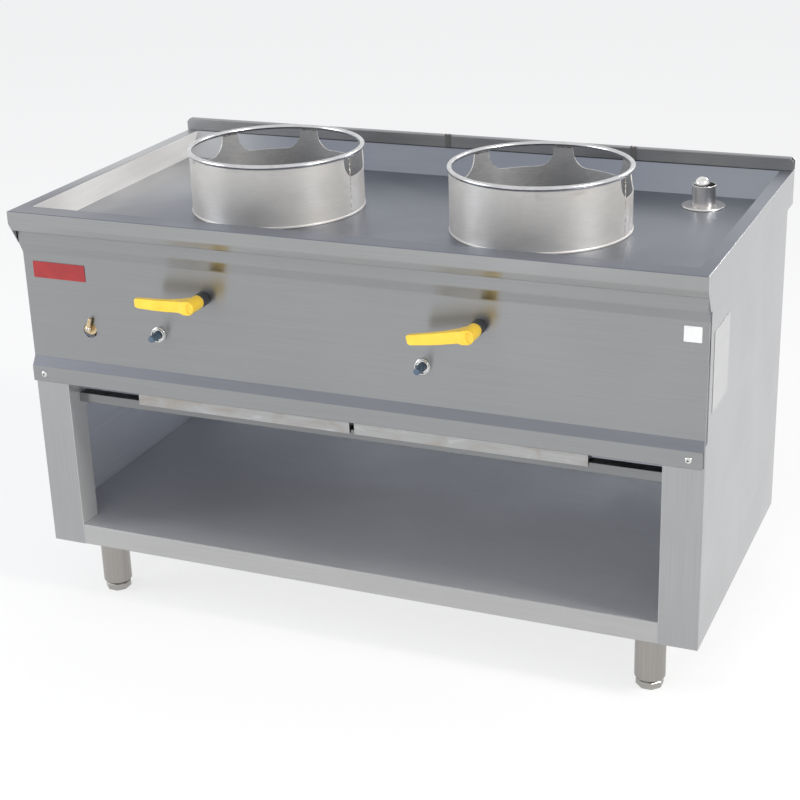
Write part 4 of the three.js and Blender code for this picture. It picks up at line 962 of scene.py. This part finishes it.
ring_steel = Finish("ring_steel", 0.7, 0.52, Anisotropic=0.3)
fine = ring_steel.noise((30, 30, 900), 3)
cloud = ring_steel.noise((9, 9, 14), 4, 0.8)
rod_patch_noise = ring_steel.noise((11, 11, 30), 4, 1.0)
# Just under the rod the wall is darker in patches.
under_rod = ring_steel.ramp(ring_steel.along(2), 0.905, 0.932, 0, 1)
tone = ring_steel.mix(ring_steel.ramp(fine, 0.3, 0.7), (0.59, 0.58, 0.56), (0.65, 0.635, 0.615))
tone = ring_steel.mix(ring_steel.ramp(cloud, 0.4, 0.75, 0, 0.35), tone, (0.46, 0.44, 0.415))
darker_under_rod = ring_steel.times(under_rod, ring_steel.ramp(rod_patch_noise, 0.52, 0.72, 0, 0.6))
tone = ring_steel.mix(darker_under_rod, tone, (0.24, 0.21, 0.19))
gloss = ring_steel.ramp(cloud, 0.3, 0.7, 0.44, 0.58)
ring_steel = ring_steel.wear(tone, gloss, ring_steel.height(fine, 0.00002, 0.4), (0, 0, 1))
# The ring's inside is a darker copy of its outside's steel.
ring_inside_finish = Finish("ring_inside_steel", 0.7, 0.5, Anisotropic=0.3)
fine = ring_inside_finish.noise((60, 60, 400), 3)
stain = ring_inside_finish.noise((13, 13, 18), 5, 1.0)
tone = ring_inside_finish.mix(ring_inside_finish.ramp(fine, 0.3, 0.7), (0.37, 0.375, 0.385), (0.44, 0.44, 0.445))
tone = ring_inside_finish.mix(ring_inside_finish.ramp(stain, 0.4, 0.7, 0, 0.5), tone, (0.27, 0.265, 0.26))
gloss = ring_inside_finish.ramp(stain, 0.3, 0.7, 0.42, 0.6)
ring_inside_finish = ring_inside_finish.wear(tone, gloss, ring_inside_finish.height(fine, 0.00003, 0.4), (0, 0, 1))
rod_steel = Finish("ring_rod_steel", 1.0, 0.25)
worn = rod_steel.noise((45, 45, 45), 4, 0.8)
tone = rod_steel.mix(rod_steel.ramp(worn, 0.35, 0.7), (0.6, 0.605, 0.62), (0.54, 0.54, 0.55))
gloss = rod_steel.ramp(worn, 0.3, 0.7, 0.2, 0.26)
rod_steel = rod_steel.wear(tone, gloss, rod_steel.height(worn, 0.00005, 0.05))
weld = Finish("weld_metal", 1.0, 0.3)
heat = weld.noise((120, 120, 120), 3)
tone = weld.mix(weld.ramp(heat, 0.35, 0.6), (0.75, 0.74, 0.72), (0.3, 0.24, 0.2))
weld = weld.wear(tone, weld.ramp(heat, 0.3, 0.7, 0.28, 0.45), weld.height(heat, 0.0003, 0.4))


def ripple_tree():
    """Overlapping flattened blobs of weld metal along a run of points, each of its own size."""
    tree, given, add = node_tree("weld_ripples", {"Size": 4 * MM, "Unevenness": 0.35})
    blob = add("GeometryNodeMeshIcoSphere", {"Radius": given["Size"], "Subdivisions": 2}).outputs["Mesh"]
    small = add("ShaderNodeMath", {0: 1.0, 1: given["Unevenness"]}, operation="SUBTRACT").outputs[0]
    uneven = add("FunctionNodeRandomValue", {"Min": small, "Max": 1.0, "Seed": 7}, data_type="FLOAT")
    scale = add("ShaderNodeCombineXYZ", {"X": 0.55, "Y": 0.55, "Z": 0.3}).outputs[0]
    sized = add("ShaderNodeVectorMath", {0: scale}, operation="SCALE")
    tree.links.new(uneven.outputs["Value"], sized.inputs["Scale"])
    return on_every_point(tree, given, add, blob, sized.outputs[0])


def around(turn, radius, z, x):
    angle = math.radians(turn)
    return (x + radius * math.cos(angle), BURNER_Y + radius * math.sin(angle), z)


def wok_ring(side, x):
    """The wall, the rod and the welds of one ring, about its own burner."""
    node = "wok_ring_" + side
    form = bmesh.new()

    def vert(turn, radius, z):
        return form.verts.new(placed(around(turn, radius, z, x)))

    stacks = []
    for turn, top in ring_columns():
        bead = FOOT_BEAD[-1][1]
        wall_high = top - RING_LOW - bead
        outer = [(RING_OUT + out, RING_LOW + high) for out, high in FOOT_BEAD]
        outer += [(RING_OUT, RING_LOW + bead + wall_high * k / WALL_STEPS) for k in range(1, WALL_STEPS + 1)]
        down = range(WALL_STEPS, -1, -1)
        inner = [(RING_IN, RING_LOW + (top - RING_LOW) * k / WALL_STEPS) for k in down]
        stacks.append([vert(turn, radius, z) for radius, z in outer + inner])
    for near, far in zip(stacks, stacks[1:] + stacks[:1]):
        for i in range(len(near)):
            j = (i + 1) % len(near)
            form.faces.new((near[i], far[i], far[j], near[j]))
    wall = built(form, "wok_ring_wall_" + side, ring_steel, ring_inside_finish)
    middle = placed((x, BURNER_Y, 0))
    for face in wall.data.polygons:
        spoke = face.center - middle
        outward = face.normal.x * spoke.x + face.normal.y * spoke.y
        face.material_index = 1 if outward < -0.1 else 0
    stand_in(settle(soften_edges(wall, 0.4 * MM, 55, 2)), "stainless", node)
    section = [2 * math.pi * k / 20 for k in range(20)]
    outline = [(ROD_RING_R + ROD_R * math.cos(a), ROD_R * math.sin(a)) for a in section]
    centre, fine_round = (x, BURNER_Y, ROD_Z), {"edge": 0.01 * MM, "sides": 160, "smooth": 60}
    lathed("wok_ring_rod_" + side, outline, centre, rod_steel, "stainless", node, **fine_round)
    runs = []
    for column in COLUMN_TURNS:
        for k in range(COLUMN_BLOBS):
            turn = column + (k - COLUMN_BLOBS // 2) * COLUMN_PITCH
            runs.append((around(turn, RING_IN - WELD_PROUD, ROD_Z - WELD_DROP, x), turn + 180))
            runs.append((around(turn, RING_OUT + WELD_PROUD, ROD_Z - WELD_DROP, x), turn))
    for k in range(SEAM_BLOBS):
        turn = SEAM_TURN + SEAM_WANDER * math.sin(k * 2.1)
        runs.append((around(turn, RING_OUT - SEAM_SUNK, RING_LOW + SEAM_LOW + k * SEAM_PITCH, x), turn))
    spots = [(place, (math.cos(math.radians(t)), math.sin(math.radians(t)), 0)) for place, t in runs]
    fastened("wok_ring_welds_" + side, ripples, weld, "stainless", solids[node]["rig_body"], spots, 180)


ripples = ripple_tree()
for side, x in BURNERS.items():
    wok_ring(side, x)

# ---------------------------------------------------------------------------
# Overflow: a polished tube standing in a flanged socket in the basin's corner,
# with a ball on a cross bar to lift it out by.
# ---------------------------------------------------------------------------
DRAIN = (547, 603, 0)
tube_steel = brushed("standpipe_steel", (0.68, 0.67, 0.66), 2, 0, 0.26, 0.05, 0.15, 0.0)
TUBE = [(22.15, 778), (24.15, 778), (24.15, 852.4), (23.5, 853), (22.15, 853)]
lathed("standpipe_tube", TUBE, DRAIN, tube_steel, "polished_steel", "standpipe", edge=0.4 * MM)
SOCKET = [(24.45, 811.3), (24.45, 776), (20, 770), (20, 736), (24, 736), (24, 768), (28, 772), (28, 808.3)]
SOCKET += [(44, 808.3), (44, 809.4), (43, 811.3)]
lathed("drain_socket_turned", SOCKET, DRAIN, tube_steel, "polished_steel", "drain_socket", edge=0.7 * MM)
dressed("standpipe_knob", chrome, "polished_steel", edge=0.3 * MM, runs="")
BALL_R, BALL_Z, BALL_STEPS, BALL_ASIDE = 15.5, 852.5, 32, 4.3
arc = [math.pi * k / BALL_STEPS for k in range(BALL_STEPS + 1)]
ball = [(BALL_R * math.sin(a), BALL_Z - BALL_R * math.cos(a)) for a in arc]
ball[0], ball[-1] = (0, BALL_Z - BALL_R), (0, BALL_Z + BALL_R)
centre = (DRAIN[0] - BALL_ASIDE, DRAIN[1], 0)
lathed("standpipe_ball", ball, centre, chrome, "polished_steel", "standpipe_knob", edge=0.01 * MM)
